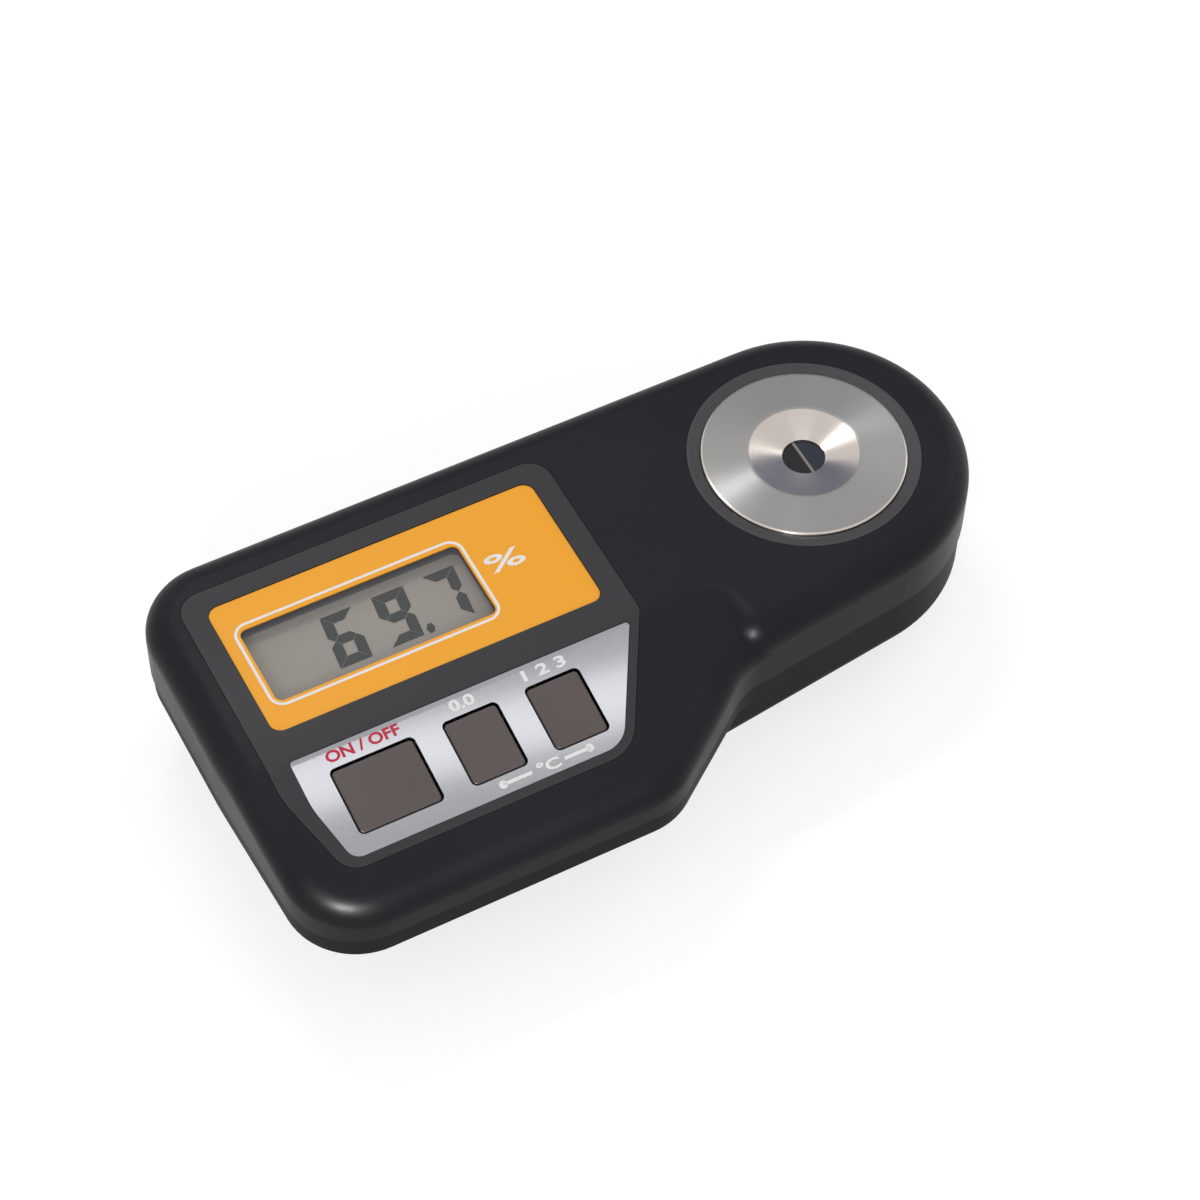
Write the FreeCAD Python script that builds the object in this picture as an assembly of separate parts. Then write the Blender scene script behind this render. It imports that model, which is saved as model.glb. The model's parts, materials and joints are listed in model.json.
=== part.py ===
import FreeCAD, Part
import math
import os

# Handheld digital refractometer, in millimetres.
# The origin is on the bench under the middle of the instrument, +X runs to the
# prism head, +Y to the back edge and +Z up.

# Case outline
case_length = 170.8
case_width = 87.6
head_radius = 32.5
back_left_radius = 15.0
front_left_radius = 15.5
front_right_radius = 15.0
neck_radius = 12.5
neck_angle = 36.2
head_line_angle = 7.0
front_corner_x = -7.3
left_bend_y = 0.0
left_bend_radius = 80.0
left_taper_angle = 2.4

# Case levels and walls
foot_height = 1.2
parting_z = 23.55
parting_gap = 0.5
case_top = 39.6
edge_radius = 6.0
case_wall = 2.2
roof = 2.6

# Sloping keypad face and the ridge that bounds it at the neck
fold_y = -8.8
tilt = 11.0
fold_radius = 20.0
ridge_x = 16.2
ridge_length = 13.45
ridge_radius = 4.5
ridge_lean = 3.0
ridge_corner_radius = 6.5

# Lower case: a shallow tray under the whole outline and a deep block
lower_inset = 0.4
tray_depth = 5.4
tray_edge_radius = 0.6
block_left_inset = 6.0
block_corner_radius = 12.0
block_straight_z = 11.7
bottom_side_inset = 3.0
bottom_front_inset = 8.6
bottom_edge_radius = 1.2
block_bend_radius = 4.0
tongue_height = 1.6
tongue_wall = 1.0
fit_gap = 0.15
gasket_inset = 1.0

# Grey panel frame let into the top
frame_left = -77.8
frame_right = 2.85
frame_back = 34.8
frame_front = -34.3
frame_corner_radius = 5.0
frame_shoulder_radius = 3.0
frame_bend_y = -16.0
frame_bend_angle = 15.6
frame_slant_margin = 1.9
frame_thickness = 1.2
side_bend_radius = 20.0
seat_gap = 0.12

# Orange display panel and its window
panel_left = -73.0
panel_right = -2.0
panel_back = 30.2
panel_front = -2.45
panel_corner_radius = 2.5
panel_recess = 0.25
panel_film = 0.3
window_left = -69.3
window_right = -22.1
window_back = 22.7
window_front = 4.0
window_radius = 1.5
window_bevel = 0.4

# Silver key panel on the slope
key_panel_left = -73.3
key_panel_right = -0.23
key_panel_back = -9.6
key_panel_front = -32.2
key_panel_slant = 30.2
key_panel_radius = 6.5
key_panel_toe_radius = 2.8
key_panel_back_radius = 0.7
key_panel_bend_y = -19.8
key_panel_bend_angle = 12.3
key_panel_recess = 0.15

# Keys, measured along the slope from the fold
key_back = -5.4
key_front = -20.07
key_spans = {"start": (-67.4, -49.5), "zero": (-43.7, -31.7), "scale": (-26.0, -14.1)}
key_corner_radius = 1.3
key_edge_radius = 0.35
key_gap = 0.45
key_recess = 0.45
key_flange = 1.2
key_flange_thickness = 1.2
key_travel = 0.6
key_rest_gap = 0.1
switch_size = 6.2
switch_height = 3.4
switch_corner_radius = 0.5
plunger_radius = 1.7
plunger_clearance = 0.1
plunger_free_length = 1.6
plunger_depth = 1.0

# Printed circuit boards and their screws
board_thickness = 1.6
board_corner_radius = 1.5
main_board_top = 30.0
main_board_left = -66.6
main_board_right = 5.6
main_board_front = -6.0
main_board_back = 31.6
main_post_inset_left = 7.0
main_post_inset_right = 4.5
main_post_inset_front = 2.4
main_post_inset_back = 2.1
key_board_margin = 1.9
key_board_margin_left = 1.4
key_board_margin_right = 2.7
board_screw_radius = 1.0
board_screw_head = 1.8
board_screw_head_height = 1.2
board_screw_bite = 5.0
key_screw_radius = 0.8
key_screw_head = 1.6
key_screw_head_height = 1.0
key_screw_bite = 4.0
board_post_radius = 1.9
key_post_radius = 1.35

# Parts soldered under the main board
chip_left = -39.4
chip_front = 8.0
chip_size = 12.0
chip_height = 1.4
chip_lead_count = 8
chip_lead_pitch = 1.27
chip_lead_width = 0.4
chip_lead_thickness = 0.5
resistor_left = -59.4
resistor_front = 24.0
resistor_length = 3.0
resistor_width = 1.6
resistor_height = 1.4
resistor_pitch = 5.0
resistor_count = 6
capacitor_x = -5.9
capacitor_height = 5.2
capacitors = [(3.1, 14.0), (2.5, 21.5)]
crystal_left = -21.4
crystal_front = 3.0
crystal_length = 11.0
crystal_width = 4.6
crystal_height = 3.4
sensor_socket_left = 0.1
sensor_socket_front = 6.0
sensor_socket_length = 12.0
sensor_socket_width = 5.1
sensor_socket_height = 2.6
key_socket_left = -48.4
key_socket_front = -5.4
key_socket_length = 14.0
key_socket_width = 3.8
key_socket_height = 2.0

# Flat cables
ribbon_thickness = 0.3
key_ribbon_left = -47.4
key_ribbon_width = 12.0
sensor_ribbon_width = 10.0

# Liquid crystal display
lcd_top = 36.0
lcd_thickness = 2.8
lcd_margin_x = 3.0
lcd_margin_y = 3.0
lcd_step_x = 0.8
lcd_step_y = 1.6
lcd_holder_wall = 1.2
contact_strip_width = 2.0
contact_strip_inset = 0.4

# Prism head
stage_from_end = 34.3
stage_from_back = 32.5
dish_rim_radius = 11.2
dish_hole_radius = 4.4
dish_depth = 1.7
dish_land = 0.4
stage_radius = 21.06
stage_top = 40.0
stage_rim_thickness = 2.4
stage_chamfer = 0.35
stage_boss_radius = 17.3
stage_boss_depth = 5.4
ring_outer_radius = 23.9
ring_bevel = 0.5
seat_boss_radius = 26.5
prism_length = 12.0
prism_top_width = 15.0
prism_height = 6.4
prism_room_radius = 9.7
prism_land = 1.2
prism_gap = 0.3
facet_angle = 60.0
seal_inset = 0.6
seal_width = 1.2
seal_depth = 0.3
chassis_radius = 19.5
chassis_reach = 25.5
chassis_depth = 9.5
chassis_arm = 9.0
arm_start = 6.0
arm_end = 2.6
beam_angle = 35.0
beam_radius = 3.4
led_radius = 2.5
led_flange = 0.4
led_length = 8.0
led_distance = 20.5
led_holder_flange = 8.0
led_board_half = 8.0
beam_bore_radius = 4.6
sleeve_gap = 0.2
lens_radius = 4.4
lens_thickness = 2.4
condenser_bulge = 1.0
sensor_bulge = 0.8
lens_distance = 13.0
sensor_distance = 23.5
sensor_board_size = 15.0
sensor_board_thickness = 1.0
sensor_setback = 2.0
sensor_half_width = 2.4
sensor_half_length = 6.5
sensor_height = 1.8
stage_screw_circle = 13.0
stage_screw_angles = (55.0, 125.0, 270.0)
stage_screw_radius = 1.25
stage_screw_head = 2.4
stage_screw_head_height = 1.6
stage_screw_seat = 3.0
stage_screw_reach = 5.8
thermistor_angle = 235.0
thermistor_radius = 1.2
thermistor_length = 5.3
thermistor_bite = 2.8

# Battery, the rectangular 9 volt size
battery_length = 46.4
battery_width = 26.2
battery_height = 17.0
battery_edge_radius = 2.0
terminal_height = 1.7
terminal_spacing = 12.7
terminal_radii = (2.9, 3.9)
battery_from_end = 19.6
battery_center_y = 5.2
battery_bottom = 4.8
battery_play = 0.6
bay_wall = 1.5
bay_rim = 2.0
contact_gap = 0.05
contact_thickness = 0.4
contact_leaf_half = 3.6
contact_leaf_rise = 7.6
contact_leaf_foot = 2.0
contact_tail_half = 1.0
contact_block_width = 2.6
contact_block_gap = 0.2

# Battery cover and its coin screw
cover_thickness = 1.6
cover_recess = 0.2
cover_lip = 2.4
cover_screw_run = 12.0
cover_screw_shift = 0.5
cover_radius = 3.0
cover_edge_radius = 0.4
cover_gap = 0.3
cover_shelf = 1.2
grip_count = 5
grip_pitch = 2.4
grip_width = 1.0
grip_depth = 0.4
grip_half_length = 8.0
grip_inset = 6.0
gasket_thickness = 0.4
gasket_width = 1.3
gasket_margin = 0.5
gasket_corner_radius = 0.8
pad_gap = 0.3
pad_inset_left = 8.0
pad_inset_right = 9.0
pad_inset_side = 4.0
pad_corner_radius = 1.5
coin_screw_radius = 4.2
coin_head_height = 0.8
coin_seat_gap = 0.1
coin_shank_radius = 2.0
coin_shank_gap = 0.15
coin_boss_wall = 2.4
coin_screw_reach = 9.0
coin_slot_width = 1.4
coin_slot_depth = 0.5

# Fasteners and feet
case_screw_shank = 1.2
case_screw_head = 2.4
case_screw_head_height = 1.8
case_screw_seat_z = 12.0
case_screw_reach = 18.0
case_post_radius = 3.6
upper_post_radius = 3.2
screw_from_end = 13.0
corner_screw_from_end = 15.0
corner_screw_from_back = 12.3
screw_from_back = 8.8
screw_right = 11.6
screw_clearance = 0.1
touch = 0.01
shank_hole_gap = 0.3
head_hole_gap = 0.4
screw_head_round = 0.45
foot_radius = 5.0
foot_edge_radius = 0.5
foot_pocket = 0.5
foot_gap = 0.05
foot_from_left = 22.0
foot_from_right = 29.8

# Values worked out from the sizes above
right_x = case_length / 2
back_y = case_width / 2
head_x = right_x - head_radius
head_y = back_y - head_radius
stage_x = right_x - stage_from_end
stage_y = back_y - stage_from_back
battery_left = battery_from_end - right_x
screw_positions = [
    (corner_screw_from_end - right_x, back_y - corner_screw_from_back),
    (screw_from_end - right_x, -6.0),
    (screw_right, back_y - screw_from_back),
    (screw_right, -12.0),
]
foot_positions = [
    (foot_from_left - right_x, 30.0),
    (foot_from_left - right_x, -19.0),
    (right_x - foot_from_right, 25.0),
    (right_x - foot_from_right, -3.0),
]
parting_top = parting_z + parting_gap / 2
parting_bottom = parting_z - parting_gap / 2
slope = math.radians(tilt)
tray_bottom = parting_bottom - tray_depth + parting_gap / 2
prism_top = stage_top - dish_depth - dish_land
stage_shelf = stage_top - stage_rim_thickness
stage_bottom = stage_top - stage_boss_depth
board_bottom = main_board_top - board_thickness
cover_bottom = foot_height + cover_recess
cover_top = cover_bottom + cover_thickness
lid_top = cover_top + gasket_thickness
contact_x = battery_left + battery_length + terminal_height + contact_gap
lens_end = lens_distance + lens_thickness
led_end = led_distance + led_length / 2
far = case_length


def vec(x, y, z=0.0):
    return FreeCAD.Vector(x, y, z)


def unit(a, b):
    length = math.hypot(b[0] - a[0], b[1] - a[1])
    return ((b[0] - a[0]) / length, (b[1] - a[1]) / length)


def crossing(p, d, q, e):
    # Point where the line through p along d meets the line through q along e
    k = ((q[0] - p[0]) * e[1] - (q[1] - p[1]) * e[0]) / (d[0] * e[1] - d[1] * e[0])
    return (p[0] + k * d[0], p[1] + k * d[1])


def inset_corners(corners, inset):
    # Anticlockwise corners (x, y, radius), moved inwards by inset
    count = len(corners)
    moved = []
    for i in range(count):
        before = corners[i - 1]
        here = corners[i]
        after = corners[(i + 1) % count]
        d = unit(before, here)
        e = unit(here, after)
        p = (before[0] - d[1] * inset, before[1] + d[0] * inset)
        q = (here[0] - e[1] * inset, here[1] + e[0] * inset)
        x, y = crossing(p, d, q, e)
        convex = d[0] * e[1] - d[1] * e[0] > 0
        radius = here[2] - inset if convex else here[2] + inset
        moved.append((x, y, max(radius, 0.3)))
    return moved


def rounded_wire(corners, z=0.0):
    # Closed wire of straight runs joined by tangent arcs
    count = len(corners)
    edges = []
    bends = []
    for i in range(count):
        before = corners[i - 1]
        here = corners[i]
        after = corners[(i + 1) % count]
        d = unit(before, here)
        e = unit(here, after)
        turn = math.atan2(d[0] * e[1] - d[1] * e[0], d[0] * e[0] + d[1] * e[1])
        reach = here[2] * math.tan(abs(turn) / 2)
        side = math.copysign(here[2], turn)
        start = (here[0] - d[0] * reach, here[1] - d[1] * reach)
        end = (here[0] + e[0] * reach, here[1] + e[1] * reach)
        center = (start[0] - d[1] * side, start[1] + d[0] * side)
        out = unit(center, here)
        middle = (center[0] + out[0] * here[2], center[1] + out[1] * here[2])
        bends.append((vec(start[0], start[1], z), vec(middle[0], middle[1], z), vec(end[0], end[1], z)))
    for i in range(count):
        start, middle, end = bends[i]
        previous_end = bends[i - 1][2]
        if previous_end.distanceToPoint(start) > 0.001:
            edges.append(Part.makeLine(previous_end, start))
        edges.append(Part.Arc(start, middle, end).toShape())
    return Part.Wire(Part.__sortEdges__(edges))


def prism_of(corners, z0, z1):
    return Part.Face(rounded_wire(corners, z0)).extrude(vec(0, 0, z1 - z0))


def rectangle(x0, x1, y0, y1, radius):
    return [(x0, y0, radius), (x1, y0, radius), (x1, y1, radius), (x0, y1, radius)]


def cuboid(x0, x1, y0, y1, z0, z1):
    return Part.makeBox(x1 - x0, y1 - y0, z1 - z0, vec(x0, y0, z0))


def disc(radius, z0, z1, x=0.0, y=0.0):
    return Part.makeCylinder(radius, z1 - z0, vec(x, y, z0))


def tube(outer, inner, z0, z1, x=0.0, y=0.0):
    return disc(outer, z0, z1, x, y).cut(disc(inner, z0, z1, x, y))


def fuse_all(shapes):
    result = shapes[0]
    for shape in shapes[1:]:
        result = result.fuse(shape)
    return result


def save(shape, node):
    shape.exportStep("parts/" + node + ".step")


def on_slope(shape):
    # Shape drawn flat, with z = 0 on the keypad face and y = 0 at the fold, laid on the slope
    shape.rotate(vec(0, 0, 0), vec(1, 0, 0), tilt)
    shape.translate(vec(0, fold_y, case_top))
    return shape


def rim_edges(solid):
    # Edges where the upward faces meet the upright walls
    upward = []
    upright = []
    for face in solid.Faces:
        u0, u1, v0, v1 = face.ParameterRange
        lean = face.normalAt((u0 + u1) / 2, (v0 + v1) / 2).z
        if lean > 0.9:
            upward.extend(face.Edges)
        elif abs(lean) < 0.1:
            upright.extend(face.Edges)
    return [edge for edge in upward if any(edge.isSame(other) for other in upright)]


def head_front_line():
    # Straight front wall of the head, tangent to the head circle: a point on it and its direction
    half_turn = math.radians(90 - head_line_angle) / 2
    point = (right_x, head_y - head_radius * math.tan(half_turn))
    angle = math.radians(head_line_angle)
    return point, (math.cos(angle), math.sin(angle))


def case_corners():
    point, along = head_front_line()
    neck = math.radians(neck_angle)
    front_left_x = -right_x + (back_y + left_bend_y) * math.tan(math.radians(left_taper_angle))
    neck_x, neck_y = crossing(point, along, (front_corner_x, -back_y), (math.cos(neck), math.sin(neck)))
    return [
        (front_left_x, -back_y, front_left_radius),
        (front_corner_x, -back_y, front_right_radius),
        (neck_x, neck_y, neck_radius),
        (point[0], point[1], head_radius),
        (right_x, back_y, head_radius),
        (-right_x, back_y, back_left_radius),
        (-right_x, left_bend_y, left_bend_radius),
    ]


def plateau_corners():
    # Level area round the prism; its free edge towards the keypad is the ridge
    point, along = head_front_line()
    lean = math.radians(ridge_lean)
    foot_x, foot_y = crossing(point, along, (ridge_x + ridge_length * math.sin(lean), 0), (0, 1))
    ridge_y = foot_y + ridge_length * math.cos(lean)
    buried_left = frame_right - head_radius
    buried_back = back_y - 2 * edge_radius
    return [
        (foot_x, foot_y, ridge_corner_radius),
        (point[0], point[1], head_radius),
        (right_x, back_y, head_radius),
        (head_x - head_radius, back_y, edge_radius),
        (head_x - head_radius, buried_back, edge_radius),
        (buried_left, buried_back, edge_radius),
        (buried_left, ridge_y, edge_radius),
        (ridge_x, ridge_y, ridge_radius),
    ]


def block_corners():
    # Deep block under the head and body; its front wall carries on in line with the head's
    point, along = head_front_line()
    left = -right_x + block_left_inset
    front_left = crossing(point, along, (left, 0), (0, 1))
    outer = [
        (front_left[0], front_left[1], block_corner_radius),
        (point[0], point[1], head_radius),
        (right_x, back_y, head_radius),
        (left, back_y, block_corner_radius),
    ]
    return inset_corners(outer, lower_inset)


def block_bottom_corners():
    point, along = head_front_line()
    top = block_corners()
    left = top[0][0] + bottom_side_inset
    right = right_x - lower_inset - bottom_front_inset
    back = back_y - lower_inset - bottom_side_inset
    shift = lower_inset + bottom_front_inset
    front = (point[0] - along[1] * shift, point[1] + along[0] * shift)
    front_left = crossing(front, along, (left, 0), (0, 1))
    front_right = crossing(front, along, (right, 0), (0, 1))
    # The one circle that touches the back, the right end and the front wall
    reach = (back - front[1]) * along[0] - (right - front[0]) * along[1]
    radius = reach / (1 + along[0] - along[1])
    return [
        (front_left[0], front_left[1], block_corner_radius),
        (front_right[0], front_right[1], radius),
        (right, back, radius),
        (left, back, block_corner_radius),
    ]


def under_skin(depth):
    # Everything below the folded top face, which is pushed in by depth
    radius = fold_radius - depth
    cy = fold_y + fold_radius * math.tan(slope / 2)
    cz = case_top - fold_radius
    top = vec(0, cy, cz + radius)
    middle = vec(0, cy - radius * math.sin(slope / 2), cz + radius * math.cos(slope / 2))
    low = vec(0, cy - radius * math.sin(slope), cz + radius * math.cos(slope))
    run = far / math.cos(slope)
    toe = vec(0, low.y - run * math.cos(slope), low.z - run * math.sin(slope))
    back = vec(0, far, top.z)
    edges = [
        Part.makeLine(toe, low),
        Part.Arc(low, middle, top).toShape(),
        Part.makeLine(top, back),
        Part.makeLine(back, vec(0, far, -far)),
        Part.makeLine(vec(0, far, -far), vec(0, toe.y, -far)),
        Part.makeLine(vec(0, toe.y, -far), toe),
    ]
    skin = Part.Face(Part.Wire(edges)).extrude(vec(2 * far, 0, 0))
    skin.translate(vec(-far, 0, 0))
    return skin


def folded_form(corners, depth, radius, z0):
    # Upright walls under the folded top, with a rounded rim
    form = prism_of(corners, z0, case_top + edge_radius).common(under_skin(depth))
    return form.makeFillet(radius, rim_edges(form))


def plateau_form(z0):
    form = prism_of(plateau_corners(), z0, case_top)
    return form.makeFillet(edge_radius, rim_edges(form))


def between_skins(corners, depth0, depth1):
    # Bent plate that follows the top face between two depths
    column = prism_of(corners, 0, case_top + edge_radius)
    return column.common(under_skin(depth0)).cut(under_skin(depth1))


def key_panel_corners():
    lean = math.tan(math.radians(key_panel_slant))
    bend = math.tan(math.radians(key_panel_bend_angle))
    front_right = key_panel_right - (key_panel_back - key_panel_front) * lean
    front_left = key_panel_left + (key_panel_bend_y - key_panel_front) * bend
    return [
        (front_left, key_panel_front, key_panel_toe_radius),
        (front_right, key_panel_front, key_panel_radius),
        (key_panel_right, key_panel_back, key_panel_back_radius),
        (key_panel_left, key_panel_back, key_panel_back_radius),
        (key_panel_left, key_panel_bend_y, side_bend_radius),
    ]


def frame_corners():
    lean = math.radians(key_panel_slant)
    slant = (key_panel_right + frame_slant_margin * math.cos(lean),
             key_panel_back - frame_slant_margin * math.sin(lean))
    along = (math.sin(lean), math.cos(lean))
    right = crossing(slant, along, (frame_right, 0), (0, 1))
    front = crossing(slant, along, (0, frame_front), (1, 0))
    front_left = frame_left + (frame_bend_y - frame_front) * math.tan(math.radians(frame_bend_angle))
    return [
        (front_left, frame_front, frame_corner_radius),
        (front[0], front[1], key_panel_radius + frame_slant_margin),
        (right[0], right[1], frame_shoulder_radius),
        (frame_right, frame_back, frame_corner_radius),
        (frame_left, frame_back, frame_corner_radius),
        (frame_left, frame_bend_y, side_bend_radius),
    ]


def panel_corners():
    return rectangle(panel_left, panel_right, panel_front, panel_back, panel_corner_radius)


def window_corners():
    return rectangle(window_left, window_right, window_front, window_back, window_radius)


def key_corners(name, grow):
    left, right = key_spans[name]
    corners = rectangle(left, right, key_front, key_back, key_corner_radius)
    return inset_corners(corners, -grow)


def battery_box(play):
    right = battery_left + battery_length + terminal_height
    half = battery_width / 2
    return (battery_left - play, right + contact_thickness + play / 3,
            battery_center_y - half - play, battery_center_y + half + play)


def cover_corners(grow):
    x0, x1, y0, y1 = battery_box(battery_play)
    lip = cover_lip
    corners = rectangle(x0 - lip, x1 + lip + cover_screw_run, y0 - lip, y1 + lip, cover_radius)
    return inset_corners(corners, -grow)


def coin_screw_place():
    x0, x1, y0, y1 = battery_box(battery_play)
    return x1 + cover_lip + cover_screw_run / 2 - cover_screw_shift, battery_center_y


def key_holes():
    holes = []
    for name in key_spans:
        holes.append(on_slope(prism_of(key_corners(name, 0), -roof - edge_radius, edge_radius)))
    return fuse_all(holes)


def main_board_posts():
    x0 = main_board_left + main_post_inset_left
    x1 = main_board_right - main_post_inset_right
    y0 = main_board_front + main_post_inset_front
    y1 = main_board_back - main_post_inset_back
    return [(x0, y0), (x1, y0), (x1, y1), (x0, y1)]


def key_board_posts():
    spans = list(key_spans.values())
    middle = (key_back + key_front) / 2
    return [((spans[i][1] + spans[i + 1][0]) / 2, middle) for i in range(2)]


def key_board_depth():
    return roof + key_rest_gap + key_flange_thickness + plunger_free_length + switch_height


def stage_screw_places():
    return [under_stage(angle) for angle in stage_screw_angles]


def under_stage(angle):
    a = math.radians(angle)
    return stage_x + stage_screw_circle * math.cos(a), stage_y + stage_screw_circle * math.sin(a)


def upper_case():
    outside = folded_form(case_corners(), 0, edge_radius, parting_top)
    outside = outside.fuse(plateau_form(parting_top))
    inner = inset_corners(case_corners(), case_wall)
    hollow = folded_form(inner, roof, edge_radius - case_wall, parting_top - edge_radius)
    case = outside.cut(hollow)
    seat = stage_bottom + screw_clearance
    case = case.fuse(disc(seat_boss_radius, seat, case_top - roof, stage_x, stage_y))
    for x, y in screw_positions:
        post = disc(upper_post_radius, parting_top, case_top, x, y).common(under_skin(roof / 2))
        case = case.fuse(post)
    for x, y in main_board_posts():
        case = case.fuse(disc(board_post_radius, main_board_top, case_top - roof, x, y))
    for x, v in key_board_posts():
        case = case.fuse(on_slope(disc(key_post_radius, -key_board_depth(), -roof, x, v)))
    for x, y in screw_positions:
        tip = case_screw_seat_z + case_screw_reach + screw_clearance
        case = case.cut(disc(case_screw_shank + screw_clearance / 2, parting_bottom, tip, x, y))
    for x, y in main_board_posts():
        tip = main_board_top + board_screw_bite + screw_clearance
        case = case.cut(disc(board_screw_radius + screw_clearance / 2, 0, tip, x, y))
    for x, v in key_board_posts():
        bottom = -key_board_depth()
        tip = bottom + key_screw_bite + screw_clearance
        case = case.cut(on_slope(disc(key_screw_radius + screw_clearance / 2, bottom, tip, x, v)))
    case = case.cut(between_skins(inset_corners(frame_corners(), -seat_gap), -edge_radius, frame_thickness))
    case = case.cut(prism_of(inset_corners(window_corners(), -window_bevel), main_board_top, case_top))
    case = case.cut(key_holes())
    case = case.cut(disc(ring_outer_radius + seat_gap, stage_shelf, stage_top, stage_x, stage_y))
    case = case.cut(disc(stage_boss_radius + seat_gap, 0, case_top, stage_x, stage_y))
    return case.removeSplitter()


def block_form(inset, z0, z1):
    # Upright down to block_straight_z, then drawn in towards the bottom
    share = (block_straight_z - z0) / (block_straight_z - foot_height)
    top = inset_corners(block_corners(), inset)
    bottom = inset_corners(block_bottom_corners(), inset)
    low = []
    for i in range(len(top)):
        low.append(tuple(top[i][k] + share * (bottom[i][k] - top[i][k]) for k in range(3)))
    skirt = Part.makeLoft([rounded_wire(low, z0), rounded_wire(top, block_straight_z)], True, True)
    form = skirt.fuse(prism_of(top, block_straight_z, z1)).removeSplitter()
    bend = [edge for edge in form.Edges if abs(edge.BoundBox.ZMin - block_straight_z) < touch
            and edge.BoundBox.ZLength < touch]
    foot = [edge for edge in form.Edges if edge.BoundBox.ZMax < z0 + touch]
    return form.makeFillet(block_bend_radius, bend).makeFillet(bottom_edge_radius, foot)


def lower_case():
    tray = prism_of(inset_corners(case_corners(), lower_inset), tray_bottom, parting_bottom)
    bottom_rim = [edge for edge in tray.Edges if edge.BoundBox.ZMax < tray_bottom + touch]
    tray = tray.makeFillet(tray_edge_radius, bottom_rim)
    outside = tray.fuse(block_form(0, foot_height, parting_bottom))
    hollow = block_form(case_wall, foot_height + case_wall, parting_top)
    wing = inset_corners(case_corners(), lower_inset + case_wall)
    hollow = hollow.fuse(prism_of(wing, tray_bottom + case_wall, parting_top))
    case = outside.cut(hollow)
    tongue = inset_corners(case_corners(), case_wall + fit_gap)
    ring = prism_of(tongue, parting_bottom - tongue_wall, parting_bottom + tongue_height)
    case = case.fuse(ring.cut(prism_of(inset_corners(tongue, tongue_wall), 0, case_top)))
    x0, x1, y0, y1 = battery_box(battery_play)
    w = bay_wall
    bay_right = x1 + contact_block_width + w
    bay = cuboid(x0 - w, bay_right, y0 - w, y1 + w, foot_height, battery_bottom + battery_height - bay_rim)
    case = case.fuse(bay)
    cx, cy = coin_screw_place()
    screw_tip = cover_bottom + coin_screw_reach
    boss_radius = coin_shank_radius + coin_boss_wall
    case = case.fuse(disc(boss_radius, foot_height, screw_tip + coin_boss_wall, cx, cy))
    case = case.fuse(prism_of(cover_corners(w), foot_height, lid_top + cover_shelf))
    for x, y in screw_positions:
        case = case.fuse(disc(case_post_radius, foot_height, parting_bottom, x, y))
    case = case.cut(cuboid(x0, x1, y0, y1, 0, case_top))
    case = case.cut(cuboid(x0, x1 + contact_block_width, y0, y1, lid_top + cover_shelf, case_top))
    case = case.cut(prism_of(cover_corners(cover_gap), 0, lid_top))
    case = case.cut(disc(coin_shank_radius + coin_shank_gap, 0, screw_tip + coin_shank_gap, cx, cy))
    for x, y in screw_positions:
        case = case.cut(disc(case_screw_shank + shank_hole_gap, 0, case_top, x, y))
        case = case.cut(disc(case_screw_head + head_hole_gap, 0, case_screw_seat_z, x, y))
    for x, y in foot_positions:
        case = case.cut(disc(foot_radius + foot_gap, 0, foot_height + foot_pocket, x, y))
    return case.removeSplitter()


def case_gasket():
    outer = inset_corners(case_corners(), gasket_inset)
    inner = inset_corners(case_corners(), case_wall)
    return prism_of(outer, parting_bottom, parting_top).cut(prism_of(inner, 0, case_top))


def screw(shank, head, head_height, reach, x, y, seat):
    # Pan-head screw that points up, its head resting under the seat level
    body = disc(shank, seat, seat + reach, x, y)
    cap = disc(head, seat - head_height, seat, x, y)
    low = [edge for edge in cap.Edges if edge.BoundBox.ZMax < seat - head_height + touch]
    cap = cap.makeChamfer(head_height * screw_head_round, low)
    return cap.fuse(body)


def case_screws():
    return Part.makeCompound([screw(case_screw_shank, case_screw_head, case_screw_head_height,
                                    case_screw_reach, x, y, case_screw_seat_z)
                              for x, y in screw_positions])


def rubber_feet():
    feet = []
    for x, y in foot_positions:
        foot = disc(foot_radius, 0, foot_height + foot_pocket, x, y)
        low = [edge for edge in foot.Edges if edge.BoundBox.ZMax < touch]
        feet.append(foot.makeFillet(foot_edge_radius, low))
    return Part.makeCompound(feet)


def panel_frame():
    plate = between_skins(frame_corners(), 0, frame_thickness)
    plate = plate.cut(prism_of(inset_corners(panel_corners(), -seat_gap), 0, stage_top))
    return plate.cut(prism_of(inset_corners(key_panel_corners(), -seat_gap), 0, stage_top))


def display_panel():
    top = case_top - panel_recess
    film = prism_of(panel_corners(), top - panel_film, top)
    return film.cut(prism_of(window_corners(), 0, case_top))


def display_window():
    top = case_top - panel_recess - panel_film
    return prism_of(panel_corners(), case_top - frame_thickness, top)


def key_panel():
    plate = between_skins(key_panel_corners(), key_panel_recess, frame_thickness)
    return plate.cut(key_holes())


def lcd_box():
    return (window_left - lcd_margin_x, window_right + lcd_margin_x,
            window_front - lcd_margin_y, window_back + lcd_margin_y)


def lcd_glass():
    # Two glass plates; the lower one reaches further and carries the contacts
    x0, x1, y0, y1 = lcd_box()
    lower = cuboid(x0, x1, y0, y1, lcd_top - lcd_thickness, lcd_top - lcd_thickness / 2)
    dx = lcd_step_x
    dy = lcd_step_y
    upper = cuboid(x0 + dx, x1 - dx, y0 + dy, y1 - dy, lcd_top - lcd_thickness / 2, lcd_top)
    return lower.fuse(upper)


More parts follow.
